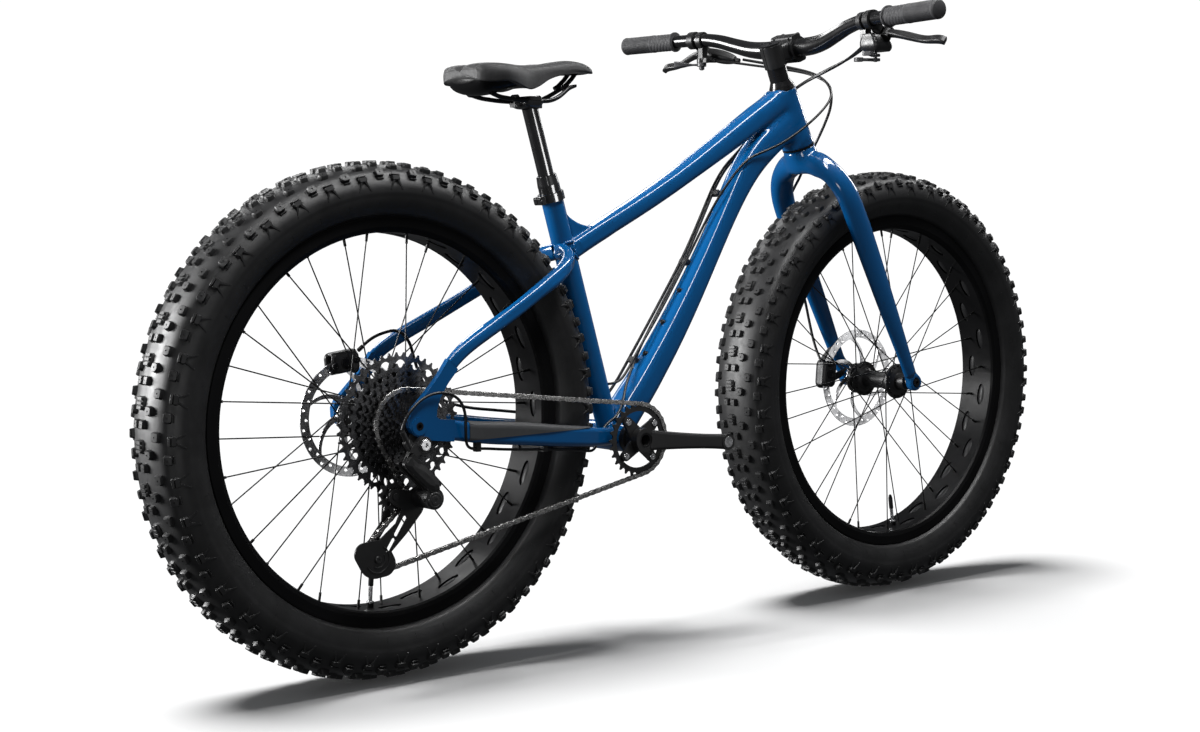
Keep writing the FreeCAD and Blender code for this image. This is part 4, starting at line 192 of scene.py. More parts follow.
# ---------------------------------------------------------------------------------------------
# materials
# ---------------------------------------------------------------------------------------------
def surface(name, base, rough, metal=0.0, spec=0.5, coat=0.0, coat_rough=0.04, rough_var=0.06, rough_scale=40.0, tone_var=0.12,
            tone_scale=9.0, bump=0.0, bump_scale=400.0, bump_depth=0.0002, edge=0.0, sheen=0.0, detail=4.0):
    """Physically based finish whose tone, gloss and relief all vary a little over the surface."""
    m = bpy.data.materials.new(name)
    t = node_tree(m)
    out = t.nodes.new("ShaderNodeOutputMaterial")
    b = t.nodes.new("ShaderNodeBsdfPrincipled")
    t.links.new(b.outputs[0], out.inputs["Surface"])
    b.inputs["Metallic"].default_value = metal
    b.inputs["Specular IOR Level"].default_value = spec
    b.inputs["Coat Weight"].default_value = coat
    b.inputs["Coat Roughness"].default_value = coat_rough
    b.inputs["Sheen Weight"].default_value = sheen
    co = t.nodes.new("ShaderNodeTexCoord")
    n1 = t.nodes.new("ShaderNodeTexNoise")
    n1.inputs["Scale"].default_value = tone_scale
    n1.inputs["Detail"].default_value = detail
    t.links.new(co.outputs["Object"], n1.inputs["Vector"])
    ramp = t.nodes.new("ShaderNodeValToRGB")
    ramp.color_ramp.elements[0].position = 0.3
    ramp.color_ramp.elements[1].position = 0.7
    lo, hi = 1.0 - tone_var, 1.0 + tone_var
    ramp.color_ramp.elements[0].color = (base[0] * lo, base[1] * lo, base[2] * lo, 1)
    ramp.color_ramp.elements[1].color = (min(1, base[0] * hi), min(1, base[1] * hi), min(1, base[2] * hi), 1)
    t.links.new(n1.outputs["Fac"], ramp.inputs["Fac"])
    t.links.new(ramp.outputs["Color"], b.inputs["Base Color"])
    n2 = t.nodes.new("ShaderNodeTexNoise")
    n2.inputs["Scale"].default_value = rough_scale
    n2.inputs["Detail"].default_value = 3.0
    t.links.new(co.outputs["Object"], n2.inputs["Vector"])
    mr = t.nodes.new("ShaderNodeMapRange")
    mr.inputs["From Min"].default_value = 0.3
    mr.inputs["From Max"].default_value = 0.7
    mr.inputs["To Min"].default_value = max(0.02, rough - rough_var)
    mr.inputs["To Max"].default_value = min(1.0, rough + rough_var)
    t.links.new(n2.outputs["Fac"], mr.inputs["Value"])
    t.links.new(mr.outputs["Result"], b.inputs["Roughness"])
    normal = None
    if edge > 0:
        bv = t.nodes.new("ShaderNodeBevel")
        bv.samples = 4
        bv.inputs["Radius"].default_value = edge
        normal = bv.outputs["Normal"]
    if bump > 0:
        n3 = t.nodes.new("ShaderNodeTexNoise")
        n3.inputs["Scale"].default_value = bump_scale
        n3.inputs["Detail"].default_value = 2.0
        t.links.new(co.outputs["Object"], n3.inputs["Vector"])
        bp = t.nodes.new("ShaderNodeBump")
        bp.inputs["Strength"].default_value = bump
        bp.inputs["Distance"].default_value = bump_depth
        t.links.new(n3.outputs["Fac"], bp.inputs["Height"])
        if normal is not None:
            t.links.new(normal, bp.inputs["Normal"])
        normal = bp.outputs["Normal"]
    if normal is not None:
        t.links.new(normal, b.inputs["Normal"])
    return m


M = {}
M["blue"] = surface("blue_paint", (0.0002, 0.069, 0.215), 0.40, metal=0.0, spec=0.06, coat=1.0, coat_rough=0.03, rough_var=0.05,
                    tone_var=0.05, tone_scale=5.0, bump=0.12, bump_scale=900.0, bump_depth=0.00004)
M["gloss_black"] = surface("gloss_black_paint", (0.0065, 0.0065, 0.007), 0.30, spec=0.14, coat=0.6, coat_rough=0.05, rough_var=0.04, tone_var=0.2,
                           bump=0.1, bump_scale=900.0, bump_depth=0.00003)
M["rim_black"] = surface("rim_black_finish", (0.0045, 0.0045, 0.0048), 0.34, spec=0.07, coat=0.03, coat_rough=0.10, rough_var=0.05, tone_var=0.25,
                         bump=0.1, bump_scale=1500.0, bump_depth=0.00003)
M["satin_black"] = surface("satin_black_alloy", (0.012, 0.012, 0.0125), 0.40, metal=0.25, spec=0.45, rough_var=0.06, tone_var=0.2,
                           rough_scale=60, bump=0.15, bump_scale=2500.0, bump_depth=0.00003, edge=0.0005)
M["dark_steel"] = surface("black_steel", (0.020, 0.020, 0.021), 0.34, metal=0.7, rough_var=0.08, tone_var=0.3, rough_scale=120, edge=0.0003)
M["spoke_black"] = surface("spoke_black", (0.006, 0.006, 0.006), 0.33, metal=0.2, rough_var=0.04, tone_var=0.2)
M["cog_steel"] = surface("sprocket_black_steel", (0.10, 0.10, 0.104), 0.24, metal=0.9, rough_var=0.10, tone_var=0.45, tone_scale=60,
                         rough_scale=200)
M["silver"] = surface("bright_steel", (0.62, 0.62, 0.63), 0.24, metal=1.0, rough_var=0.08, tone_var=0.12, rough_scale=150, tone_scale=40,
                      edge=0.0003)
M["rotor"] = surface("rotor_steel", (0.66, 0.66, 0.67), 0.30, metal=1.0, rough_var=0.08, tone_var=0.12, rough_scale=300, tone_scale=60,
                     bump=0.25, bump_scale=1200.0, bump_depth=0.00003)
M["chain"] = surface("chain_steel", (0.33, 0.325, 0.32), 0.28, metal=1.0, rough_var=0.10, tone_var=0.25, rough_scale=250, tone_scale=120)
M["tyre"] = surface("tyre_rubber", (0.0115, 0.0115, 0.0120), 0.47, spec=0.42, rough_var=0.05, tone_var=0.28, tone_scale=26, rough_scale=90,
                    bump=0.35, bump_scale=1300.0, bump_depth=0.00012)
M["grip"] = surface("grip_rubber", (0.034, 0.034, 0.036), 0.62, spec=0.4, rough_var=0.06, tone_var=0.2, tone_scale=60, rough_scale=200,
                    bump=0.4, bump_scale=1800.0, bump_depth=0.0001)
M["plastic"] = surface("black_plastic", (0.012, 0.012, 0.0125), 0.36, spec=0.5, rough_var=0.07, tone_var=0.25, rough_scale=120,
                       bump=0.25, bump_scale=2200.0, bump_depth=0.00005, edge=0.0004)
M["grey"] = surface("grey_plastic", (0.055, 0.055, 0.058), 0.42, spec=0.5, rough_var=0.07, tone_var=0.2, rough_scale=120,
                    bump=0.3, bump_scale=2200.0, bump_depth=0.00005, edge=0.0004)
M["guard"] = surface("guard_rubber", (0.030, 0.031, 0.033), 0.55, spec=0.4, rough_var=0.06, tone_var=0.18, rough_scale=120,
                     bump=0.4, bump_scale=1500.0, bump_depth=0.00008)
M["saddle"] = surface("saddle_skin", (0.020, 0.020, 0.021), 0.62, spec=0.38, rough_var=0.06, tone_var=0.18, tone_scale=40, rough_scale=300,
                      bump=0.5, bump_scale=1500.0, bump_depth=0.00022, sheen=0.06)
M["cable"] = surface("cable_jacket", (0.007, 0.007, 0.0075), 0.33, spec=0.5, rough_var=0.05, tone_var=0.2, rough_scale=150,
                     bump=0.15, bump_scale=1800.0, bump_depth=0.00004)
M["gunmetal"] = surface("gunmetal_alloy", (0.075, 0.076, 0.08), 0.38, metal=0.85, rough_var=0.06, tone_var=0.15, rough_scale=200,
                        bump=0.2, bump_scale=2200.0, bump_depth=0.00004, edge=0.0004)

FINISH = {
    "head_tube": "blue", "top_tube": "blue", "down_tube": "blue", "seat_tube": "blue", "bottom_bracket_shell": "blue",
    "chainstays": "blue", "seatstays": "blue", "headset_cups": "gloss_black", "bottom_bracket_cups": "satin_black",
    "seat_clamp": "gloss_black", "dropper_outer_tube": "gloss_black", "derailleur_hanger": "satin_black", "chainstay_guard": "guard",
    "rear_axle": "dark_steel", "rear_caliper": "satin_black", "frame_hardware": "plastic", "control_cables": "cable", "chain": "chain",
    "derailleur_b_knuckle": "plastic", "fork": "blue", "headset_spacers": "gloss_black", "stem": "satin_black",
    "stem_faceplate": "satin_black", "handlebar": "gloss_black", "grips": "grip", "brake_masters": "satin_black",
    "shifter_body": "plastic", "dropper_remote": "plastic", "front_caliper": "satin_black", "front_axle": "dark_steel",
    "front_brake_hose": "cable", "front_tyre": "tyre", "rear_tyre": "tyre", "front_rim": "rim_black", "rear_rim": "rim_black",
    "front_spokes": "spoke_black", "rear_spokes": "spoke_black", "front_hub": "satin_black", "rear_hub": "satin_black",
    "front_rotor": "rotor", "rear_rotor": "rotor", "cassette": "cog_steel", "crank_arm_right": "satin_black",
    "crank_arm_left": "satin_black", "chainring": "satin_black", "dropper_stanchion": "gloss_black", "saddle_rails": "dark_steel",
    "saddle_shell": "plastic", "saddle_cover": "saddle", "derailleur_outer_link": "satin_black", "derailleur_inner_link": "satin_black",
    "derailleur_cage_knuckle": "plastic", "derailleur_cage": "satin_black", "guide_pulley": "plastic", "tension_pulley": "plastic",
    "brake_lever_left": "satin_black", "brake_lever_right": "satin_black", "shift_paddle_main": "grey", "shift_paddle_release": "grey",
    "dropper_remote_lever": "grey",
}
for node_name, node_obj in NODE.items():
    for s in node_obj.material_slots:
        s.material = M[FINISH[node_name]]


# ---------------------------------------------------------------------------------------------
# mesh helpers, all in millimetres
# ---------------------------------------------------------------------------------------------
class Build:
    def __init__(self):
        self.v, self.f, self.m = [], [], []

    def add(self, verts, faces, mi=0):
        n = len(self.v)
        self.v.extend([(p[0], p[1], p[2]) for p in verts])
        self.f.extend([tuple(i + n for i in f) for f in faces])
        self.m.extend([mi] * len(faces))

    def rings(self, rings, cap0=True, cap1=True, closed=True, mi=0):
        """Skin over rings of equal count."""
        n = len(rings[0])
        base = len(self.v)
        for r in rings:
            self.v.extend([(p[0], p[1], p[2]) for p in r])
        k = 0
        for i in range(len(rings) - 1):
            for j in range(n if closed else n - 1):
                a, b = base + i * n + j, base + i * n + (j + 1) % n
                self.f.append((a, b, b + n, a + n))
                k += 1
        if cap0:
            self.f.append(tuple(base + j for j in reversed(range(n))))
            k += 1
        if cap1:
            o = base + (len(rings) - 1) * n
            self.f.append(tuple(o + j for j in range(n)))
            k += 1
        self.m.extend([mi] * k)

    def obj(self, name, mats, body=None, replaces=(), smooth=32.0, weld=0.0):
        me = bpy.data.meshes.new(name)
        me.from_pydata([(x * 0.001, y * 0.001, z * 0.001) for x, y, z in self.v], [], self.f)
        me.update()
        if weld > 0:
            bm = bmesh.new()
            bm.from_mesh(me)
            bmesh.ops.remove_doubles(bm, verts=bm.verts, dist=weld * 0.001)
            bm.to_mesh(me)
            bm.free()
        else:
            me.polygons.foreach_set("material_index", self.m)
        for mm in mats if isinstance(mats, (list, tuple)) else [mats]:
            me.materials.append(M[mm])
        bm = bmesh.new()
        bm.from_mesh(me)
        bmesh.ops.recalc_face_normals(bm, faces=bm.faces)
        bm.to_mesh(me)
        bm.free()
        me.polygons.foreach_set("use_smooth", [True] * len(me.polygons))
        if smooth is not None:
            me.set_sharp_from_angle(angle=math.radians(smooth))
        me.update()
        o = bpy.data.objects.new(name, me)
        scene.collection.objects.link(o)
        if body:
            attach(o, body)
        if replaces:
            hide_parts(*replaces)
        return o


def vec(*a):
    return Vector(a[0] if len(a) == 1 else a)


def frame_of(d):
    d = vec(d).normalized()
    a = Vector((0, 0, 1)) if abs(d.z) < 0.9 else Vector((1, 0, 0))
    u = d.cross(a).normalized()
    return d, u, d.cross(u).normalized()


def disc(c, u, v, r, n, phase=0.0):
    return [c + u * (r * math.cos(phase + 2 * math.pi * i / n)) + v * (r * math.sin(phase + 2 * math.pi * i / n)) for i in range(n)]


def turned(b, c, d, prof, n=32, mi=0, cap0=True, cap1=True):
    """Turned piece: prof is (distance along d, radius) pairs."""
    c = vec(c)
    d, u, v = frame_of(d)
    b.rings([disc(c + d * h, u, v, max(r, 0.001), n) for h, r in prof], cap0, cap1, True, mi)


def sweep(b, pts, radius, n=10, mi=0, cap=True):
    """Round tube along points, with frames carried along the path."""
    pts = [vec(p) for p in pts]
    rings = []
    up = None
    for i, p in enumerate(pts):
        t = (pts[min(i + 1, len(pts) - 1)] - pts[max(i - 1, 0)]).normalized()
        if up is None:
            _, u, w = frame_of(t)
            up = u
        up = (up - t * up.dot(t)).normalized()
        w = t.cross(up)
        r = radius(i / (len(pts) - 1)) if callable(radius) else radius
        rings.append(disc(p, up, w, r, n))
    b.rings(rings, cap, cap, True, mi)


def socket_bolt(b, p, d, r, h, mi=0, seg=24, hex_r=None, depth=None):
    """Round headed bolt with a chamfered rim and a six sided socket."""
    p = vec(p)
    d, u, v = frame_of(d)
    hr = hex_r or r * 0.52
    dp = depth or h * 0.7
    b.rings([disc(p, u, v, r, seg), disc(p + d * (h - 0.12 * r), u, v, r, seg), disc(p + d * h, u, v, r * 0.86, seg),
             [p + d * h + (u * math.cos(2 * math.pi * i / seg) + v * math.sin(2 * math.pi * i / seg)) * hexr(2 * math.pi * i / seg, hr) for i in range(seg)],
             [p + d * (h - dp) + (u * math.cos(2 * math.pi * i / seg) + v * math.sin(2 * math.pi * i / seg)) * hexr(2 * math.pi * i / seg, hr) for i in range(seg)]],
            True, True, True, mi)


def hexr(a, r):
    a = (a + math.pi / 6) % (math.pi / 3) - math.pi / 6
    return r * math.cos(math.pi / 6) / math.cos(a)


def lerp(a, b, t):
    return a + (b - a) * t


def smoothstep(e0, e1, x):
    t = min(1.0, max(0.0, (x - e0) / (e1 - e0)))
    return t * t * (3 - 2 * t)


def catmull(pts, n):
    """Points along a Catmull-Rom curve through pts, n per span."""
    P = [vec(p) for p in pts]
    P = [P[0] * 2 - P[1]] + P + [P[-1] * 2 - P[-2]]
    out = []
    for i in range(1, len(P) - 2):
        for k in range(n):
            t = k / n
            a, b, c, d = P[i - 1], P[i], P[i + 1], P[i + 2]
            out.append(0.5 * ((2 * b) + (c - a) * t + (2 * a - 5 * b + 4 * c - d) * t * t + (3 * b - a - 3 * c + d) * t ** 3))
    out.append(P[-2])
    return out


# ---------------------------------------------------------------------------------------------
# tyres: carcass with raised sidewall rings and separate tread blocks
# ---------------------------------------------------------------------------------------------
WHEEL_R = 380.0
AXLE = {"front": (542.0, 380.0), "rear": (-542.0, 380.0)}
PROFILE = catmull([(0, 380.0, 0), (13, 379.7, 0), (28, 376.8, 0), (42, 371.8, 0), (50.6, 365.4, 0), (56.2, 356, 0), (58.3, 344, 0), (57.8, 333, 0),
                   (55.3, 320, 0), (49.3, 308, 0), (42.3, 301.0, 0), (37.4, 299.2, 0)], 10)
ARC = [0.0]
for i in range(1, len(PROFILE)):
    ARC.append(ARC[-1] + (PROFILE[i] - PROFILE[i - 1]).length)


def prof_at(s):
    """(y, r, normal y, normal r) on the knob top line at signed arc length s from the middle of the tread."""
    sg = -1.0 if s < 0 else 1.0
    s = min(abs(s), ARC[-1] - 1e-6)
    lo, hi = 0, len(ARC) - 1
    while hi - lo > 1:
        m = (lo + hi) // 2
        if ARC[m] <= s:
            lo = m
        else:
            hi = m
    t = (s - ARC[lo]) / (ARC[hi] - ARC[lo])
    p = PROFILE[lo].lerp(PROFILE[hi], t)
    a = PROFILE[max(lo - 1, 0)]
    b = PROFILE[min(hi + 1, len(PROFILE) - 1)]
    tx, tr = (b.x - a.x), (b.y - a.y)
    if lo == 0:
        tx, tr = 1.0, (b.y - a.y) * 0.2
    l = math.hypot(tx, tr)
    return sg * p.x, p.y, sg * (-tr / l), tx / l


TREAD_DEPTH = 5.6


def depth_at(s):
    return TREAD_DEPTH * smoothstep(85.0, 60.0, abs(s))


def tyre_point(cx, cz, th, s, depth):
    y, r, ny, nr = prof_at(s)
    rr = r - nr * depth
    return Vector((cx + rr * math.cos(th), y - ny * depth, cz + rr * math.sin(th)))


def offset_poly(poly, d):
    n = len(poly)
    out = []
    for i in range(n):
        a, b, c = poly[i - 1], poly[i], poly[(i + 1) % n]
        e1 = Vector((b[0] - a[0], b[1] - a[1])).normalized()
        e2 = Vector((c[0] - b[0], c[1] - b[1])).normalized()
        n1, n2 = Vector((e1.y, -e1.x)), Vector((e2.y, -e2.x))
        bi = (n1 + n2)
        bi = bi / max(0.35, bi.length_squared / 2.0) if bi.length > 1e-6 else n1
        out.append((b[0] + bi.x * d, b[1] + bi.y * d))
    return out


def block(hu, hv, c=1.6, sk=0.0):
    """Eight sided block outline with cut corners, sk leans it."""
    p = [(-hu + c, -hv), (hu - c, -hv), (hu, -hv + c), (hu, hv - c), (hu - c, hv), (-hu + c, hv), (-hu, hv - c), (-hu, -hv + c)]
    return [(u + sk * v, v) for u, v in p]


def knob(b, cx, cz, th, s, poly, top=0.0, foot=None, flare=1.5, hole=0.0, hole_depth=2.6, hc=(0.0, 0.0)):
    sg = -1.0 if s < 0 else 1.0

    def place(pl, depth):
        out = []
        for u, v in pl:
            sv = s + sg * v
            r = prof_at(sv)[1]
            out.append(tyre_point(cx, cz, th + u / r, sv, depth if not callable(depth) else depth(sv)))
        return out

    rings = []
    if foot is None:
        rings.append(place(offset_poly(poly, flare), lambda q: max(depth_at(q), top + 0.6) + 0.7))
        rings.append(place(offset_poly(poly, flare * 0.42), lambda q: top + 0.55 * max(depth_at(q) - top, 1.0)))
    else:
        rings.append(place(offset_poly(poly, flare * 0.4), foot))
    rings.append(place(poly, top + 0.55))
    rings.append(place(offset_poly(poly, -0.45), top))
    if hole > 0:
        n = len(poly)
        hp = []
        for u, v in poly:
            l = math.hypot(u - hc[0], v - hc[1])
            hp.append((hc[0] + (u - hc[0]) / l * hole, hc[1] + (v - hc[1]) / l * hole))
        rings.append(place(hp, top))
        rings.append(place(hp, top + hole_depth))
    if sg < 0:
        rings = [list(reversed(r)) for r in rings]
    b.rings(rings, True, True)


PITCHES = 40


def tyre(which, seed):
    cx, cz = AXLE[which]
    b = Build()
    n_c = 280
    # carcass outline from bead to bead, with the sidewall rings
    rows = []
    s_max = ARC[-1]
    ns = 96
    for i in range(ns + 1):
        s = -s_max + 2 * s_max * i / ns
        a = abs(s)
        lift = 0.0
        lift += 0.5 * smoothstep(86.0, 87.0, a) * smoothstep(92.0, 91.0, a)
        lift += 0.55 * smoothstep(117.0, 118.5, a) * smoothstep(124.0, 122.5, a)
        rows.append((s, depth_at(s) - lift + 0.45))
    rings = []
    for k in range(n_c):
        th = 2 * math.pi * k / n_c
        ring = [tyre_point(cx, cz, th, s, d) for s, d in rows]
        # beads and inner wall
        for y, r in ((36.3, 298.2), (34.8, 289.0), (30.9, 289.0), (32.9, 299.2), (44.0, 307.5), (51.3, 320), (53.6, 340), (50.0, 355), (43.5, 362.0), (25.0, 368.2)):
            ring.append(Vector((cx + r * math.cos(th), y, cz + r * math.sin(th))))
        for y, r in ((-25.0, 368.2), (-43.5, 362.0), (-50.0, 355), (-53.6, 340), (-51.3, 320), (-44.0, 307.5), (-32.9, 299.2), (-30.9, 289.0), (-34.8, 289.0), (-36.3, 298.2)):
            ring.append(Vector((cx + r * math.cos(th), y, cz + r * math.sin(th))))
        rings.append(ring)
    n = len(rings[0])
    base = len(b.v)
    for r in rings:
        b.v.extend([tuple(p) for p in r])
    for k in range(n_c):
        for j in range(n):
            a, c = base + k * n + j, base + k * n + (j + 1) % n
            d, e = base + ((k + 1) % n_c) * n + (j + 1) % n, base + ((k + 1) % n_c) * n + j
            b.f.append((a, c, d, e))
            b.m.append(0)
    # tread blocks
    step = 2 * math.pi / PITCHES

    def s_of(y):
        return next(ARC[i] + (y - PROFILE[i].x) / max(1e-6, PROFILE[i + 1].x - PROFILE[i].x) * (ARC[i + 1] - ARC[i])
                    for i in range(len(PROFILE) - 1) if PROFILE[i + 1].x >= y)

    sA, sB, sC, sD, sP = s_of(55.9), s_of(52.2), s_of(36.6), s_of(22.3), s_of(8.2)
    dd = [(-5.6, -4.6), (2.6, -5.6), (5.4, -3.4), (6.0, 0.4), (5.0, 4.2), (1.6, 6.0), (-4.4, 5.4), (-5.9, 2.0)]
    cc = [(-6.0, -4.9), (4.0, -5.6), (5.8, -4.0), (6.2, 2.6), (4.8, 5.4), (-3.6, 5.8), (-5.6, 4.4), (-6.3, 0.0)]
    bb = block(5.8, 5.6, 1.3, 0.06)
    for k in range(PITCHES):
        t0 = k * step + seed
        # middle block with three cross sipes
        t = t0 + 0.17 * step
        knob(b, cx, cz, t, 0.0, block(8.6, 6.6, 1.4), top=2.5, flare=1.5)
        for u0 in (-6.0, 0.0, 6.0):
            knob(b, cx, cz, t + u0 / 380.0, 0.0, block(2.45, 6.5, 0.7), top=0.0, foot=2.9, flare=0.5)
        for sg in (-1.0, 1.0):
            knob(b, cx, cz, t0 + 0.65 * step, sg * sP, block(5.3, 4.7, 1.0), hole=1.15, flare=1.5)
            knob(b, cx, cz, t0 + 0.33 * step, sg * sD, dd, hole=1.25, flare=1.6)
            knob(b, cx, cz, t0 - 0.09 * step, sg * sC, cc, hole=1.25, flare=1.6)
            knob(b, cx, cz, t0 + 0.45 * step, sg * sB, bb, hole=1.25, flare=1.8)
            # low frame ridge outside the shoulder square
            knob(b, cx, cz, t0 + 0.45 * step, sg * (sB + 9.6), block(5.6, 1.0, 0.5), top=2.4, flare=0.7)
            # shoulder block in two parts with its buttress ribs
            knob(b, cx, cz, t0, sg * (sA - 4.4), block(6.6, 1.9, 0.9), top=0.2, flare=0.9)
            knob(b, cx, cz, t0, sg * (sA + 2.0), block(6.4, 3.4, 1.1), top=0.0, flare=1.3)
            for su in (-1.0, 1.0):
                rib = [(su * 2.6 - 1.7, 4.0), (su * 2.6 + 1.7, 4.0), (su * 9.6 + 0.8, 19.5), (su * 9.6 - 0.8, 19.5)]
                if (rib[1][0] - rib[0][0]) * (rib[2][1] - rib[0][1]) < 0:
                    rib.reverse()
                q = []
                sgv = sg * sA
                for lift, off in ((None, 0.9), (1, 0.0)):
                    pl = offset_poly(rib, off)
                    rg = []
                    for u, v in pl:
                        sv = sgv + sg * v
                        f = (v - 4.0) / 15.5
                        hh = lerp(4.2, 0.8, min(1, max(0, f)))
                        dpt = depth_at(sv) + 0.9 if lift is None else max(0.0, depth_at(sv) + 0.45 - hh)
                        rg.append(tyre_point(cx, cz, t0 + u / prof_at(sv)[1], sv, dpt))
                    q.append(rg if sg > 0 else list(reversed(rg)))
                b.rings(q, True, True)
            # thin mould lines across the lower sidewall
            ml = [(-0.35, 0), (0.35, 0), (0.35, 9.0), (-0.35, 9.0)]
            rg0, rg1 = [], []
            for u, v in ml:
                sv = sg * (101.0 + v)
                rg0.append(tyre_point(cx, cz, t0 + 0.55 * step + u / 310.0, sv, 0.8))
                rg1.append(tyre_point(cx, cz, t0 + 0.55 * step + u / 310.0, sv, 0.05))
            if sg < 0:
                rg0.reverse()
                rg1.reverse()
            b.rings([rg0, rg1], True, True)
    return b.obj(which + "_tyre_treaded", "tyre", which + "_wheel", (which + "_tyre",), smooth=40)


tyre("front", math.radians(176.82 - 180.0))
tyre("rear", math.radians(161.91))


# ---------------------------------------------------------------------------------------------
# eased skins: a copy of a piece, remeshed evenly, with its inside corners drawn out into fillets
# ---------------------------------------------------------------------------------------------
TT_CORE = [((-170, 631.5), (0.885, 0.465), 15.3, 16.0), ((-148, 643), (0.885, 0.465), 15.0, 16.0), ((-15, 709), (0.88, 0.475), 15.3, 17.5),
           ((73, 757), (0.87, 0.49), 16.0, 18.5), ((185, 822.5), (0.85, 0.53), 19.5, 19.5), ((264, 870.2), (0.85, 0.53), 20.5, 21.0)]
DT_CORE = [((-50, 387.5), (0.57, 0.82), 24.4, 26.0), ((-19.5, 424), (0.57, 0.82), 23.5, 25.0), ((87.5, 577), (0.54, 0.84), 19.5, 21.0),
           ((172, 716), (0.53, 0.85), 20.0, 20.5), ((213, 772), (0.66, 0.75), 24.0, 21.5), ((258, 811), (0.80, 0.60), 26.0, 22.5),
           ((276, 822.5), (0.83, 0.56), 26.4, 22.6)]


def tube_core(bm, table, inset=1.1):
    """Filling for a thin tube, just inside its outer face, so that an even remesh of the wall stays whole."""
    mid = catmull([(x, 0, z) for (x, z), d, a, b in table], 8)
    way = catmull([(d[0], 0, d[1]) for c, d, a, b in table], 8)
    size = catmull([(a, b, 0) for c, d, a, b in table], 8)
    rings = []
    for c, d, ab in zip(mid, way, size):
        u = Vector((-d.z, 0, d.x)).normalized()
        a, b = ab.x - inset, ab.y - inset
        r = 0.62 * min(ab.x, ab.y) - inset
        ring = []
        for qx, qy, t0 in ((1, 1, 0), (-1, 1, 90), (-1, -1, 180), (1, -1, 270)):
            for k in range(7):
                t = math.radians(t0 + 15 * k)
                ring.append((c + u * (qx * (a - r) + r * math.cos(t)) + Vector((0, qy * (b - r) + r * math.sin(t), 0))) * 0.001)
        rings.append([bm.verts.new(p) for p in ring])
    n = len(rings[0])
    for r0, r1 in zip(rings, rings[1:]):
        for j in range(n):
            bm.faces.new((r0[j], r0[(j + 1) % n], r1[(j + 1) % n], r1[j]))
    bm.faces.new(list(reversed(rings[0])))
    bm.faces.new(rings[-1])


def eased(name, nodes, voxel, weight, rounds, mat, body, cores=()):
    nodes = (nodes,) if isinstance(nodes, str) else nodes
    bm = bmesh.new()
    for node in nodes:
        one = NODE[node].data.copy()
        one.transform(NODE[node].matrix_world)
        bm.from_mesh(one)
        bpy.data.meshes.remove(one)
    for table in cores:
        tube_core(bm, table)
    me0 = bpy.data.meshes.new(name + "_source")
    bm.to_mesh(me0)
    bm.free()
    o0 = bpy.data.objects.new(name + "_source", me0)
    scene.collection.objects.link(o0)
    mod = o0.modifiers.new("even", "REMESH")
    mod.mode = "VOXEL"
    mod.voxel_size = voxel
    dg = bpy.context.evaluated_depsgraph_get()
    me = bpy.data.meshes.new_from_object(o0.evaluated_get(dg))
    bpy.data.objects.remove(o0)
    n = len(me.vertices)
    co = np.empty(n * 3)
    me.vertices.foreach_get("co", co)
    co = co.reshape(n, 3)
    ed = np.empty(len(me.edges) * 2, dtype=np.int64)
    me.edges.foreach_get("vertices", ed)
    ed = ed.reshape(-1, 2)
    deg = np.bincount(ed.ravel(), minlength=n).astype(float)[:, None]
    w = weight(co)[:, None]
    for _ in range(rounds):
        acc = np.zeros_like(co)
        np.add.at(acc, ed[:, 0], co[ed[:, 1]])
        np.add.at(acc, ed[:, 1], co[ed[:, 0]])
        co = co + w * (acc / np.maximum(deg, 1) - co)
    me.vertices.foreach_set("co", co.ravel())
    me.name = name
    me.materials.clear()
    me.materials.append(M[mat])
    me.polygons.foreach_set("material_index", [0] * len(me.polygons))
    me.polygons.foreach_set("use_smooth", [True] * len(me.polygons))
    me.update()
    o = bpy.data.objects.new(name, me)
    scene.collection.objects.link(o)
    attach(o, body)
    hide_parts(*nodes)
    return o


HEAD_LOW, HEAD_UP = np.array((0.328, 0.0, 0.801)), np.array((0.289, 0.0, 0.898))


def front_weight(co):
    axis = HEAD_UP - HEAD_LOW
    length = np.linalg.norm(axis)
    axis = axis / length
    along = (co - HEAD_LOW) @ axis
    off = np.linalg.norm(co - HEAD_LOW - along[:, None] * axis, axis=1)
    near = np.clip((0.082 - off) / 0.030, 0, 1)
    rim = np.where(off < 0.034, np.clip((along - 0.004) / 0.006, 0, 1) * np.clip((length - 0.004 - along) / 0.006, 0, 1), 1.0)
    far_end = np.clip((co[:, 0] + 0.112) / 0.02, 0, 1) * np.clip((co[:, 2] - 0.40) / 0.02, 0, 1)
    return 0.02 + (0.13 + 0.33 * near) * rim * far_end


def fork_weight(co):
    x, y, z = co[:, 0], co[:, 1], co[:, 2]
    crown = np.clip((z - 0.66) / 0.06, 0, 1) * np.clip((0.7925 - z) / 0.004, 0, 1)
    low = np.clip((z - 0.41) / 0.03, 0, 1)
    return 0.05 + 0.16 * low * (z < 0.79) + 0.34 * crown


eased("fork_skin", "fork", 0.0018, fork_weight, 70, "blue", "steering")
eased("front_triangle_skin", ("head_tube", "top_tube", "down_tube"), 0.0016, front_weight, 110, "blue", "frame",
      (TT_CORE, DT_CORE))
eased("rear_caliper_skin", "rear_caliper", 0.0009, lambda co: np.full(len(co), 0.32), 20, "satin_black", "frame")
eased("front_caliper_skin", "front_caliper", 0.0009, lambda co: np.full(len(co), 0.32), 20, "satin_black", "steering")


# ---------------------------------------------------------------------------------------------
# cables: smooth lines along the routes of the housings and hoses
# ---------------------------------------------------------------------------------------------
DT = [((-90, 340), (0.57, 0.82), 25, 27), ((-19.5, 424), (0.57, 0.82), 23.5, 25), ((87.5, 577), (0.54, 0.84), 19.5, 21),
      ((172, 716), (0.53, 0.85), 20, 20.5), ((213, 772), (0.66, 0.75), 24, 21.5), ((258, 811), (0.80, 0.60), 26, 22.5),
      ((312, 845), (0.87, 0.49), 27, 23)]


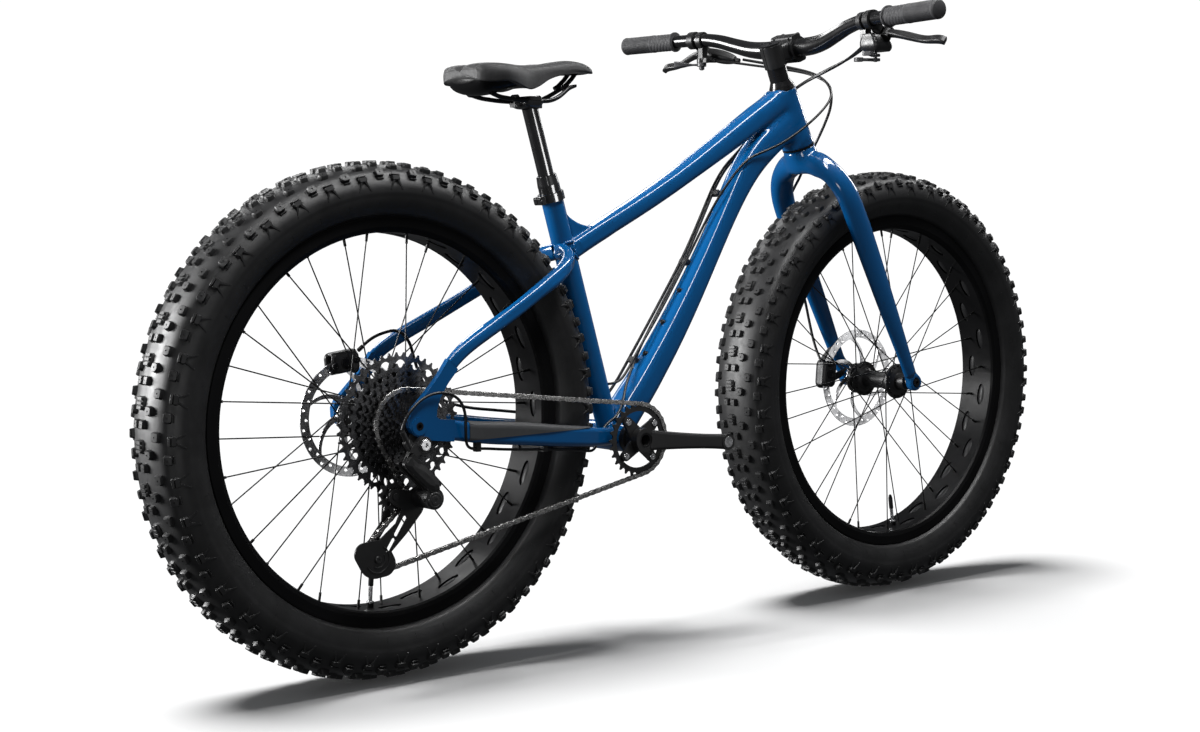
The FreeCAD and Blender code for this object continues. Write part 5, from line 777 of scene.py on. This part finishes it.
def dt_face(i0, i1, f, off, y):
    (x0, z0), (dx0, dz0), a0, b0 = DT[i0]
    (x1, z1), (dx1, dz1), a1, b1 = DT[i1]
    cx, cz = x0 + (x1 - x0) * f, z0 + (z1 - z0) * f
    dx, dz = dx0 + (dx1 - dx0) * f, dz0 + (dz1 - dz0) * f
    l = math.hypot(dx, dz)
    a = a0 + (a1 - a0) * f
    return (cx - dz / l * (a + off), y, cz + dx / l * (a + off))


REAR_HOSE = [(337, -149, 962.5), (352, -118, 955), (366, -70, 944), (372, -20, 932), (362, 22, 914), (338, 44, 890), (306, 47, 862),
             (262, 40, 828), (222, 33, 796), dt_face(3, 4, 0.35, 7.5, 27), dt_face(2, 3, 0.55, 6.0, 23), dt_face(2, 3, 0.1, 5.5, 23.5),
             dt_face(1, 2, 0.55, 5.5, 24), dt_face(1, 2, 0.12, 5.0, 25),
             (-72, 28, 398), (-100, 33.5, 371), (-134, 41, 360), (-172, 58, 360), (-216, 75.5, 364), (-266, 82, 371), (-322, 87, 378),
             (-368, 90, 392), (-402, 92, 420), (-418, 89, 456), (-431, 83, 490), (-455, 80, 508), (-484, 79.5, 503), (-504, 80, 495),
             (-515.0, 80, 486.8)]
SHIFT_HS = [(309.5, -163, 957), (330, -128, 950), (350, -82, 940), (357, -34, 928), (347, 12, 910), (326, 37, 884), (296, 40.5, 856),
            (255, 34, 820), (214, 28.5, 788), dt_face(3, 4, 0.30, 7.2, 20.5), dt_face(2, 3, 0.52, 5.6, 16.5), dt_face(2, 3, 0.08, 5.2, 16.5),
            dt_face(1, 2, 0.5, 5.0, 16), dt_face(1, 2, 0.1, 5.0, 12),
            (-75, -9, 406.5), (-95, -26.5, 380), (-114, -33.5, 359.5), (-142, -40.5, 350), (-161, -44, 330), (-178, -55, 310.5), (-214, -71.5, 315.5),
            (-262, -79, 322.5), (-318, -84, 327.0), (-376, -89, 332), (-420, -93, 337.5), (-446, -99, 339), (-462, -109, 348), (-467, -116, 372),
            (-468, -117, 398), (-480, -116, 419), (-506, -114, 428), (-535, -113, 423), (-560, -113.7, 405), (-571.2, -114, 389.0),
            (-575.4, -114, 376.7)]
DROP_HS = [(296.5, 175.5, 960.2), (309, 149, 956), (334, 108, 948), (362, 62, 940), (381, 16, 929), (383, -24, 910), (367, -44, 885), (337, -47, 858),
           (298, -42, 829), (258, -34, 804), (216, -28, 788), (181, -22, 775),
           dt_face(2, 3, 0.95, 8.5, -6), dt_face(2, 3, 0.62, 6.5, 5), dt_face(2, 3, 0.2, 5.8, 9.3), dt_face(1, 2, 0.55, 5.4, 9.5), dt_face(1, 2, 0.12, 11.0, 6),
           (-66, 3, 421), (-86, 1, 409), (-105, 0, 409)]
FRONT_HOSE = [(337, 149, 962.5), (354, 116, 955), (378, 66, 944), (396, 22, 931), (398, -12, 908), (391, -20, 872), (381, -10, 835), (377, 10, 800),
              (381, 34, 775), (390, 56, 750), (397, 78, 731), (399, 94.5, 709), (400, 102, 684), (407, 102.8, 646), (424, 101.5, 600), (440, 101, 556),
              (452, 100.5, 516), (459, 98, 482), (462.5, 92, 452), (463.5, 83, 430), (462.5, 75.5, 419)]


def smooth_line(pts, res=6):
    """Points of the NURBS line whose control points are pts."""
    cu_ = bpy.data.curves.new("route", "CURVE")
    cu_.dimensions = "3D"
    sp = cu_.splines.new("NURBS")
    sp.points.add(len(pts) - 1)
    for p, q in zip(sp.points, pts):
        p.co = (q[0], q[1], q[2], 1.0)
    sp.order_u = 3
    sp.use_endpoint_u = True
    sp.resolution_u = res
    o = bpy.data.objects.new("route", cu_)
    scene.collection.objects.link(o)
    me = bpy.data.meshes.new_from_object(o)
    out = [v.co.copy() for v in me.vertices]
    bpy.data.objects.remove(o)
    bpy.data.curves.remove(cu_)
    bpy.data.meshes.remove(me)
    return out


b = Build()
for pts, r in ((REAR_HOSE, 2.5), (SHIFT_HS, 2.2), (DROP_HS, 2.2)):
    sweep(b, smooth_line(pts), r, 12)
cables = b.obj("control_cable_set", "cable", None, ("control_cables",), smooth=60)
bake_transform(cables)
b = Build()
sweep(b, smooth_line(FRONT_HOSE), 2.5, 12)
b.obj("front_hose_line", "cable", "steering", ("front_brake_hose",), smooth=60)


# ---------------------------------------------------------------------------------------------
# chain: inner and outer plates, rollers and rivets
# ---------------------------------------------------------------------------------------------
def chain_links():
    pitch, cy = 12.7, -71.4
    links = 116

    def pr(teeth):
        return pitch / (2 * math.sin(math.pi / teeth))

    wheels = [((-542.0, 380.0), pr(25), 1), ((-102.0, 325.0), pr(28), 1), ((-597.4007, 191.1553), pr(11), 1), ((-566.0, 278.0), pr(11), -1)]
    # order round the loop: sprocket, ring, tension pulley, guide pulley
    tang = []
    for i in range(4):
        (c0, r0, s0), (c1, r1, s1) = wheels[i], wheels[(i + 1) % 4]
        dx, dz = c1[0] - c0[0], c1[1] - c0[1]
        L = math.hypot(dx, dz)
        th = math.atan2(dz, dx) + math.asin((s1 * r1 - s0 * r0) / L)
        ux, uz = math.cos(th), math.sin(th)
        rn = (uz, -ux)
        p0 = (c0[0] - rn[0] * r0 * s0, c0[1] - rn[1] * r0 * s0)
        p1 = (c1[0] - rn[0] * r1 * s1, c1[1] - rn[1] * r1 * s1)
        tang.append((p0, p1))
    path = []
    for i in range(4):
        p0, p1 = tang[i]
        n = max(2, int(math.hypot(p1[0] - p0[0], p1[1] - p0[1]) / 0.5))
        for k in range(n):
            path.append((lerp(p0[0], p1[0], k / n), lerp(p0[1], p1[1], k / n)))
        (c, r, s) = wheels[(i + 1) % 4]
        q = tang[(i + 1) % 4][0]
        a0 = math.atan2(p1[1] - c[1], p1[0] - c[0])
        a1 = math.atan2(q[1] - c[1], q[0] - c[0])
        # turning +1 runs clockwise seen from the right side, angle falling in x, z
        if s > 0:
            while a1 > a0:
                a1 -= 2 * math.pi
        else:
            while a1 < a0:
                a1 += 2 * math.pi
        n = max(2, int(abs(a1 - a0) * r / 0.5))
        for k in range(n):
            a = lerp(a0, a1, k / n)
            path.append((c[0] + r * math.cos(a), c[1] + r * math.sin(a)))
    cum = [0.0]
    for i in range(1, len(path) + 1):
        a, c = path[i - 1], path[i % len(path)]
        cum.append(cum[-1] + math.hypot(c[0] - a[0], c[1] - a[1]))
    total = cum[-1]

    def at(s):
        s = s % total
        lo, hi = 0, len(cum) - 1
        while hi - lo > 1:
            m = (lo + hi) // 2
            if cum[m] <= s:
                lo = m
            else:
                hi = m
        t = (s - cum[lo]) / max(1e-9, cum[hi] - cum[lo])
        a, c = path[lo % len(path)], path[hi % len(path)]
        return (lerp(a[0], c[0], t), lerp(a[1], c[1], t))

    # pin phase from the ring's teeth
    best, s0 = 1e9, 0.0
    for k in range(200):
        s = k / 200.0 * total / links
        err = 0.0
        for j in range(links):
            p = at(s + j * total / links)
            if math.hypot(p[0] + 102, p[1] - 325) < pr(28) + 0.3 and p[0] > -110:
                a = math.degrees(math.atan2(p[1] - 325, p[0] + 102))
                e = (a - 69.669) / (360.0 / 28)
                err += abs(e - round(e))
        if err < best:
            best, s0 = err, s
    pins = [at(s0 + j * total / links) for j in range(links)]
    b = Build()

    def plate(p, q, y0, y1, r, waist):
        d = Vector((q[0] - p[0], 0, q[1] - p[1]))
        L = d.length
        d.normalize()
        w = Vector((-d.z, 0, d.x))
        o = Vector((p[0], 0, p[1]))
        out = []
        for k in range(7):
            a = math.pi / 2 + math.pi * k / 6
            out.append((r * math.cos(a), r * math.sin(a)))
        out.append((L * 0.5, -r * waist))
        for k in range(7):
            a = -math.pi / 2 + math.pi * k / 6
            out.append((L + r * math.cos(a), r * math.sin(a)))
        out.append((L * 0.5, r * waist))
        ch = 0.22 if y1 > y0 else -0.22

        def ring(y, sc):
            res = []
            for a, c in out:
                ca = a if 0 <= a <= L else a
                m_ = Vector((L * 0.5, 0, 0))
                ax = L * 0.5 + (a - L * 0.5) * (1 - sc / (L * 0.5 + r))
                cc = c * (1 - sc / r)
                res.append(o + d * ax + w * cc + Vector((0, y, 0)))
            return res

        b.rings([ring(y0, 0), ring(y1 - ch, 0), ring(y1, 0.28)], True, True, True, 0)

    for i in range(links):
        p, q = pins[i], pins[(i + 1) % links]
        if i % 2 == 0:
            for sg in (-1, 1):
                plate(p, q, cy + sg * 1.55, cy + sg * 2.15, 3.9, 0.86)
        else:
            for sg in (-1, 1):
                plate(p, q, cy + sg * 2.2, cy + sg * 2.85, 3.75, 0.74)
    for p in pins:
        turned(b, (p[0], cy - 3.25, p[1]), (0, 1, 0), [(0, 1.1), (0.2, 1.55), (6.3, 1.55), (6.5, 1.1)], 10)
        turned(b, (p[0], cy - 1.5, p[1]), (0, 1, 0), [(0, 3.6), (0.15, 3.8), (2.85, 3.8), (3.0, 3.6)], 14)
    b.obj("chain_links", "chain", "frame", ("chain",), smooth=35)


chain_links()

# ---------------------------------------------------------------------------------------------
# wheels: strip in the rim well, valves
# ---------------------------------------------------------------------------------------------
M["strip"] = surface("rim_strip", (0.012, 0.012, 0.0125), 0.42, spec=0.16, rough_var=0.08, tone_var=0.25, tone_scale=30, rough_scale=90,
                     bump=0.3, bump_scale=700.0, bump_depth=0.0001)


def rim_extras(which, valve_deg):
    cx, cz = AXLE[which]
    b = Build()
    n = 180
    rings = []
    for k in range(n):
        th = 2 * math.pi * k / n
        c, sn = math.cos(th), math.sin(th)
        sag = 0.25 * math.sin(th * 32)
        rings.append([Vector((cx + r * c, y, cz + r * sn)) for y, r in
                      ((-19.5, 279.5), (-12, 279.35 + sag * 0.3), (0, 279.3), (12, 279.35 - sag * 0.3), (19.5, 279.5), (19.5, 280.3), (-19.5, 280.3))])
    m = len(rings[0])
    for r in rings:
        b.v.extend([tuple(p) for p in r])
    for k in range(n):
        for j in range(m):
            b.f.append((k * m + j, k * m + (j + 1) % m, ((k + 1) % n) * m + (j + 1) % m, ((k + 1) % n) * m + j))
            b.m.append(0)
    # the strip swells through the rim's cut-outs
    for k in range(32):
        a0 = math.radians(valve_deg + (k + 0.5) * 11.25)
        y0 = 12.0 if k % 2 else -12.0
        pad = []
        for i in range(13):
            u = -1 + 2 * i / 12
            row = []
            for j in range(9):
                v = -1 + 2 * j / 8
                x = u * math.sqrt(max(0.0, 1 - v * v / 2))
                w = v * math.sqrt(max(0.0, 1 - u * u / 2))
                r = 279.6 - 3.3 * max(0.0, 1 - x * x - w * w) ** 0.75
                a = a0 + x * 19.4 / 278.0
                row.append((cx + r * math.cos(a), y0 + w * 7.5, cz + r * math.sin(a)))
            pad.append(row)
        b.rings(pad, False, False, False)
    b.obj(which + "_rim_strip", "strip", which + "_wheel", smooth=50)
    e = Vector((math.cos(math.radians(valve_deg)), 0, math.sin(math.radians(valve_deg))))
    c = Vector((cx, 0, cz))
    b = Build()
    turned(b, c + e * 242.8, e, [(0, 2.5), (0.4, 3.15), (26.0, 3.15), (26.2, 3.15)], 20, 0)
    turned(b, c + e * 266.4, e, [(0, 4.6), (0.5, 5.7), (2.6, 5.7), (3.0, 5.0), (9.4, 5.0)], 24, 0)
    turned(b, c + e * 217.6, e, [(0, 0.8), (0.5, 2.1), (6.2, 3.1), (7.0, 3.95), (24.6, 3.95), (25.4, 3.4)], 20, 1)
    b.obj(which + "_valve", ["silver", "plastic"], which + "_wheel", smooth=35)


rim_extras("front", -82.0)
rim_extras("rear", -94.0)

# ---------------------------------------------------------------------------------------------
# weld beads where the tubes meet
# ---------------------------------------------------------------------------------------------
TREES = {}


def tree_of(name):
    if name not in TREES:
        o = NODE[name]
        bm = bmesh.new()
        bm.from_mesh(o.data)
        bm.transform(o.matrix_world)
        bmesh.ops.triangulate(bm, faces=bm.faces)
        TREES[name] = BVHTree.FromBMesh(bm)
        bm.free()
    return TREES[name]


def weld(b, tube_name, other, c, d, reach=95.0, radius=3.0, n=72, far=70.0, closed=True):
    """Smooth bead round tube_name where its outside runs into other. c is inside the tube, d points at the other piece."""
    c = vec(c)
    d, u, v = frame_of(d)
    ta, tb = tree_of(tube_name), tree_of(other)
    path = []
    for k in range(n):
        a = 2 * math.pi * k / n
        e = u * math.cos(a) + v * math.sin(a)
        hit = ta.ray_cast((c + e * far) * 0.001, -e, far * 0.001)
        if hit[0] is None:
            path.append(None)
            continue
        p = hit[0] + e * 0.0001
        q = tb.ray_cast(p, d, reach * 0.001)
        path.append(None if q[0] is None else q[0] * 1000.0)
    runs, cur = [], []
    if all(p is not None for p in path):
        runs = [path + path[:1]]
    else:
        i0 = next(i for i, p in enumerate(path) if p is None)
        for p in path[i0:] + path[:i0]:
            if p is None:
                if len(cur) > 4:
                    runs.append(cur)
                cur = []
            else:
                cur.append(p)
        if len(cur) > 4:
            runs.append(cur)
    for run in runs:
        for _ in range(2):
            run = [run[0]] + [(run[i - 1] + run[i] * 2 + run[i + 1]) / 4 for i in range(1, len(run) - 1)] + [run[-1]]
        line = catmull(run, 3)
        m = len(line)
        sweep(b, line, lambda t, m=m: radius * (1.0 + 0.06 * math.sin(t * m * 0.9)), 10)


b = Build()
SEAT_AX = Vector((-0.2887, 0, 0.9574)).normalized()
BB_C = Vector((-102.0, 0, 325.0))
weld(b, "top_tube", "seat_tube", (-128, 0, 653), (-40, 0, -21), radius=2.8)
weld(b, "down_tube", "bottom_bracket_shell", (-42, 0, 397.5), (-0.57, 0, -0.82), radius=3.0)
weld(b, "seat_tube", "bottom_bracket_shell", BB_C + SEAT_AX * 62.0, -SEAT_AX, radius=2.8)
for sg in (-1, 1):
    weld(b, "seatstays", "seat_tube", (-226, sg * 51.0, 609), (0.60, -sg * 0.72, 0.34), radius=2.6, far=40.0)
if b.v:
    b.obj("frame_welds", "blue", "frame", smooth=80)

# ---------------------------------------------------------------------------------------------
# saddle cover: crowned pad with two tail lobes, deep flanks and a rising nose
# ---------------------------------------------------------------------------------------------
SADDLE = [  # x, half width, top, shoulder, lower edge, half width at the lower edge
    (-392.5, 42.0, 899.5, 897.0, 882.5, 40.0), (-390.0, 50.0, 903.5, 900.0, 879.5, 48.0), (-383.0, 58.0, 906.5, 902.5, 877.5, 55.5),
    (-368.0, 65.0, 908.3, 903.0, 877.5, 62.5), (-350.0, 66.5, 909.0, 903.0, 879.0, 63.5), (-330.0, 61.0, 909.0, 902.0, 878.0, 58.5),
    (-308.0, 51.0, 908.6, 900.5, 873.5, 49.0), (-286.0, 40.5, 909.0, 900.0, 870.0, 39.5), (-264.0, 33.0, 910.8, 901.5, 876.5, 33.5),
    (-240.0, 27.5, 913.8, 904.5, 888.5, 28.0), (-214.0, 24.0, 918.0, 909.0, 896.0, 24.0), (-188.0, 22.0, 921.2, 913.0, 899.5, 21.5),
    (-165.0, 19.5, 920.5, 913.0, 901.0, 18.5), (-149.0, 15.5, 917.0, 911.0, 902.0, 14.5), (-140.5, 9.5, 912.5, 909.0, 903.5, 9.0),
    (-137.6, 4.0, 909.5, 908.0, 905.0, 4.0)]


def saddle_cover():
    cols = list(zip(*SADDLE))
    track = []
    for col in cols[1:]:
        track.append(catmull([(x, val, 0) for x, val in zip(cols[0], col)], 5))
    rings = []
    for i in range(len(track[0])):
        x = track[0][i].x
        w, zt, zs, zb, wb = (t[i].y for t in track)
        tail = smoothstep(-352.0, -392.0, x)
        chan = lerp(0.7, 2.6, smoothstep(-300.0, -372.0, x)) * smoothstep(-150.0, -200.0, x)
        half = catmull([(0, zt - chan, 0), (0.16 * w, zt - chan * 0.45, 0), (0.42 * w, zt - 0.02 * (zt - zs), 0), (0.70 * w, zt - 0.26 * (zt - zs), 0),
                        (0.90 * w, lerp(zt, zs, 0.72), 0), (0.985 * w, lerp(zs, zb, 0.22), 0), (w, lerp(zs, zb, 0.55), 0), (wb, zb, 0)], 4)
        ring = []
        for q in reversed(half):
            ring.append((q.x, q.y))
        for q in half[1:]:
            ring.append((-q.x, q.y))
        for f, lift in ((0.90, 2.6), (0.5, 4.0), (0.0, 4.5), (-0.5, 4.0), (-0.90, 2.6)):
            ring.append((-wb * f, zb + lift * min(1.0, w / 20.0)))
        pts = []
        for y, z in ring:
            dx = 6.5 * math.exp(-(y / 6.5) ** 2) * tail + 6.0 * (y / 60.0) ** 2 * tail
            pts.append(Vector((x + dx, y, z)))
        rings.append(pts)
    b = Build()
    b.rings(rings, True, True)
    n = len(rings[0])
    low = {i * n + j for i in range(len(rings)) for j in range(n) if j in (0, n - 6) or j > n - 6}
    o = b.obj("saddle_pad", "saddle", None, smooth=None)
    me = o.data
    # foam pressing out against the cover: swelled by cloth under pressure, its lower edge held on the shell
    rest = [v.co.copy() for v in me.vertices]
    vg = o.vertex_groups.new(name="held")
    vg.add(sorted(low), 1.0, "REPLACE")
    md = o.modifiers.new("cover", "CLOTH")
    st = md.settings
    st.quality = 5
    st.mass = 0.15
    st.tension_stiffness = st.compression_stiffness = 25.0
    st.shear_stiffness = 12.0
    st.bending_stiffness = 6.0
    st.use_pressure = True
    st.uniform_pressure_force = 4.0
    st.effector_weights.gravity = 0.0
    st.vertex_group_mass = "held"
    md.collision_settings.use_collision = False
    for fr in range(1, 19):
        scene.frame_set(fr)
    dg = bpy.context.evaluated_depsgraph_get()
    ev = o.evaluated_get(dg).to_mesh()
    moved = [v.co.copy() for v in ev.vertices]
    o.evaluated_get(dg).to_mesh_clear()
    o.modifiers.clear()
    o.vertex_groups.clear()
    scene.frame_set(1)
    cap = 0.0022
    for v, r, q in zip(me.vertices, rest, moved):
        dlt = q - r
        if dlt.length > cap:
            dlt = dlt * (cap / dlt.length)
        v.co = r + dlt
    sub_ = o.modifiers.new("fine", "SUBSURF")
    sub_.levels = sub_.render_levels = 1
    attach(o, "saddle_post")
    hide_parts("saddle_cover")
    return o


saddle_cover()

# ---------------------------------------------------------------------------------------------
# grips: flange, crossed grooves, a plain ring, ribs and a rounded end
# ---------------------------------------------------------------------------------------------
def grip_mesh(b, sg):
    g0 = Vector((272.29, 258.0, 998.6))
    d = Vector((-16.8, 119.0, 0.0)).normalized()
    u = Vector((0, 0, 1))
    w = d.cross(u)
    n = 72

    def prof(h, a):
        if h < 3.5:
            return 18.0 if 0.4 < h < 3.1 else 17.6
        if h < 50.0:
            p, q = h / 7.5 + a * 7 / (2 * math.pi), h / 7.5 - a * 7 / (2 * math.pi)
            g = min(abs(p - round(p)), abs(q - round(q)))
            return 15.55 - 0.75 * smoothstep(0.17, 0.07, g)
        if h < 55.0:
            return 16.0 if 50.6 < h < 54.4 else 15.6
        if h < 117.0:
            f = ((h - 55.0) / 3.1) % 1.0
            return 15.7 - 0.8 * smoothstep(0.32, 0.12, abs(f - 0.5) * 0.9)
        t = (h - 117.0) / 6.6
        return 16.0 * math.sqrt(max(0.0, 1.0 - (max(0.0, t - 0.25) / 0.75) ** 2 * 0.42))

    hs = [0.0, 0.4, 1.0, 3.0, 3.3, 3.6] + [3.6 + 46.4 * k / 96 for k in range(1, 97)] + [50.3, 50.7, 54.3, 54.7, 55.0] + \
        [55.0 + 62.0 * k / 120 for k in range(1, 121)] + [117.0 + 6.6 * k / 8 for k in range(1, 9)]
    rings = []
    for h in hs:
        c = g0 + d * h
        ring = []
        for k in range(n):
            a = 2 * math.pi * k / n
            r = prof(h, a)
            ring.append(c + u * (r * math.cos(a)) + w * (r * math.sin(a)))
        if sg < 0:
            ring = [Vector((p.x, -p.y, p.z)) for p in reversed(ring)]
        rings.append(ring)
    b.rings(rings, True, True)


b = Build()
for sg in (1, -1):
    grip_mesh(b, sg)
b.obj("grip_pair", "grip", "steering", ("grips",), smooth=50)

# ---------------------------------------------------------------------------------------------
# small fasteners
# ---------------------------------------------------------------------------------------------
b = Build()
socket_bolt(b, (-540.0, -119.0, 354.0), (0, -1, 0), 8.75, 3.7, hex_r=3.4)
b.obj("hanger_bolt_head", "silver", "frame", smooth=35)
b = Build()
for k in range(4):
    a = math.radians(-4.8 + 45 + 90 * k)
    socket_bolt(b, (-102 + 38 * math.cos(a), -77.2, 325 + 38 * math.sin(a)), (0, -1, 0), 5.5, 2.3, hex_r=2.7)
for px, pz, y0, dy in ((62.42, 311.19, -106.7, -1), (-266.42, 338.81, 106.7, 1)):
    turned(b, (px, y0 - dy * 0.2, pz), (0, dy, 0), [(0, 7.3), (0, 9.0), (0.35, 9.0), (0.35, 7.3)], 32)
b.obj("crank_bright_parts", "silver", "crankset", smooth=35)

b = Build()
for px, pz in ((-576.0, 458.0), (-538.0, 466.0)):
    socket_bolt(b, (px, 62.9, pz), (0, -1, 0), 5.2, 2.6, hex_r=2.5)
turned(b, (-556.0, 63.4, 462.0), (0, -1, 0), [(0, 9.6), (1.6, 9.2), (2.2, 8.2), (2.2, 5.0), (1.4, 4.4)], 32)
b.obj("rear_caliper_bolts", "dark_steel", "frame", smooth=35)
b = Build()
for px, pz in ((461.4, 410.0), (464.6, 374.0)):
    socket_bolt(b, (px, 47.9, pz), (0, -1, 0), 5.2, 2.6, hex_r=2.5)
turned(b, (463.0, 48.4, 392.0), (0, -1, 0), [(0, 9.6), (1.6, 9.2), (2.2, 8.2), (2.2, 5.0), (1.4, 4.4)], 32)
b.obj("front_caliper_bolts", "dark_steel", "steering", smooth=35)

# derailleur: ridged cover on the outer link, clutch cap on the drum, raised frame and bolts on the cage plate
LINK_O = Vector((-566.0, 0.0, 333.0))
LINK_D = Vector((44.0, 0.0, -41.0)).normalized()
LINK_N = Vector((-LINK_D.z, 0.0, LINK_D.x))
b = Build()
outline = [(-3.0, -8.5), (6.0, -10.4), (52.0, -10.4), (63.0, -5.0), (63.0, 5.0), (54.0, 10.4), (22.0, 10.4), (12.0, 6.0), (-3.0, 5.0)]
crest = [(6.0, -4.0), (14.0, -5.6), (46.0, -5.2), (55.0, -2.0), (55.0, 1.6), (49.0, 4.2), (26.0, 3.6), (17.0, 0.6), (6.0, 0.4)]
b.rings([[LINK_O + LINK_D * u + LINK_N * v + Vector((0, y, 0)) for u, v in poly]
         for poly, y in ((outline, -119.9), (outline, -121.0), (crest, -123.4))], True, True)
b.obj("derailleur_link_cover", "plastic", "derailleur_outer_link", smooth=12)
b = Build()
turned(b, (-524.0, -118.6, 273.5), (0, -1, 0), [(0, 12.4), (1.2, 12.2), (2.2, 11.0), (2.4, 9.4), (1.8, 9.0), (1.8, 7.2), (2.8, 6.6), (2.8, 3.0), (1.6, 2.6)], 40)
b.obj("derailleur_clutch_cap", "plastic", "derailleur_cage_knuckle", smooth=30)
b = Build()
TENS = (-597.4, 191.16)
socket_bolt(b, (TENS[0], -82.8, TENS[1]), (0, -1, 0), 5.2, 1.6, hex_r=2.4)
for c, r0, a0, a1 in ((TENS, 19.5, -150.0, 60.0), (TENS, 12.0, -120.0, 30.0)):
    sweep(b, [(c[0] + r0 * math.cos(math.radians(a0 + (a1 - a0) * k / 24)), -81.4, c[1] + r0 * math.sin(math.radians(a0 + (a1 - a0) * k / 24)))
              for k in range(25)], 1.3, 8)
b.obj("derailleur_cage_trim", "plastic", "derailleur_cage", smooth=40)

# ---------------------------------------------------------------------------------------------
# saddle shell: black bowl under the tail, drawn in from the cover's lower edge
# ---------------------------------------------------------------------------------------------
BOWL = [  # x, half width, rim height, lowest point
    (-386.0, 30.0, 884.0, 878.0), (-380.0, 44.0, 883.0, 869.0), (-368.0, 52.0, 882.5, 862.0), (-350.0, 51.0, 882.5, 861.0), (-330.0, 45.0, 882.0, 866.0),
    (-310.0, 37.5, 881.0, 872.0), (-290.0, 30.0, 880.0, 876.0), (-264.0, 25.0, 884.0, 881.0), (-240.0, 20.0, 893.0, 890.0), (-214.0, 17.0, 900.0, 897.0),
    (-188.0, 15.0, 903.5, 899.0), (-165.0, 12.0, 905.0, 900.5), (-152.0, 8.0, 906.0, 903.0)]


def saddle_bowl():
    cols = list(zip(*BOWL))
    track = [catmull([(x, val, 0) for x, val in zip(cols[0], col)], 5) for col in cols[1:]]
    rings = []
    for i in range(len(track[0])):
        x = track[0][i].x
        w, zr, zl = (t[i].y for t in track)
        ring = []
        for k in range(17):
            a = math.pi * k / 16
            ring.append(Vector((x, w * math.cos(a), zr - (zr - zl) * math.sin(a) ** 0.72)))
        for f in (-0.9, -0.45, 0.0, 0.45, 0.9):
            ring.append(Vector((x, w * f, zr + 1.6)))
        rings.append(ring)
    b = Build()
    b.rings(rings, True, True)
    # boots where the rails enter
    for sg in (-1, 1):
        turned(b, (-352.0, sg * 27.5, 861.0), (0.25, 0.1 * sg, 0.95), [(0, 4.0), (1.0, 5.2), (9.0, 6.0)], 18)
        sweep(b, [(-203.0, sg * 9.6, 878.5), (-196.0, sg * 9.5, 882.5), (-184.0, sg * 9.2, 893.0), (-175.0, sg * 9.0, 903.0)], 3.6, 14)
    b.obj("saddle_bowl", "rim_black", "saddle_post", ("saddle_shell",), smooth=40)


saddle_bowl()

bright = bpy.data.collections.new("bare_metal")
for ob in [NODE[k] for k in ("front_rotor", "rear_rotor")] + [bpy.data.objects[k] for k in ("hanger_bolt_head", "front_valve", "rear_valve")]:
    bright.objects.link(ob)
bright_kick.light_linking.receiver_collection = bright
drive = bpy.data.collections.new("drive_parts")
for ob in [NODE[k] for k in ("cassette", "guide_pulley", "tension_pulley", "crank_arm_right", "chainring", "chainstay_guard", "rear_hub", "front_hub",
                             "derailleur_b_knuckle", "derailleur_outer_link", "derailleur_inner_link", "derailleur_cage_knuckle", "derailleur_cage")] + \
        [bpy.data.objects[k] for k in ("chain_links", "crank_bright_parts", "derailleur_link_cover", "derailleur_clutch_cap", "derailleur_cage_trim",
                                       "rear_caliper_skin", "front_caliper_skin")]:
    drive.objects.link(ob)
drive_kick.light_linking.receiver_collection = drive
post = bpy.data.collections.new("post_parts")
for k in ("dropper_stanchion", "dropper_outer_tube", "seat_clamp"):
    post.objects.link(NODE[k])
post_kick.light_linking.receiver_collection = post
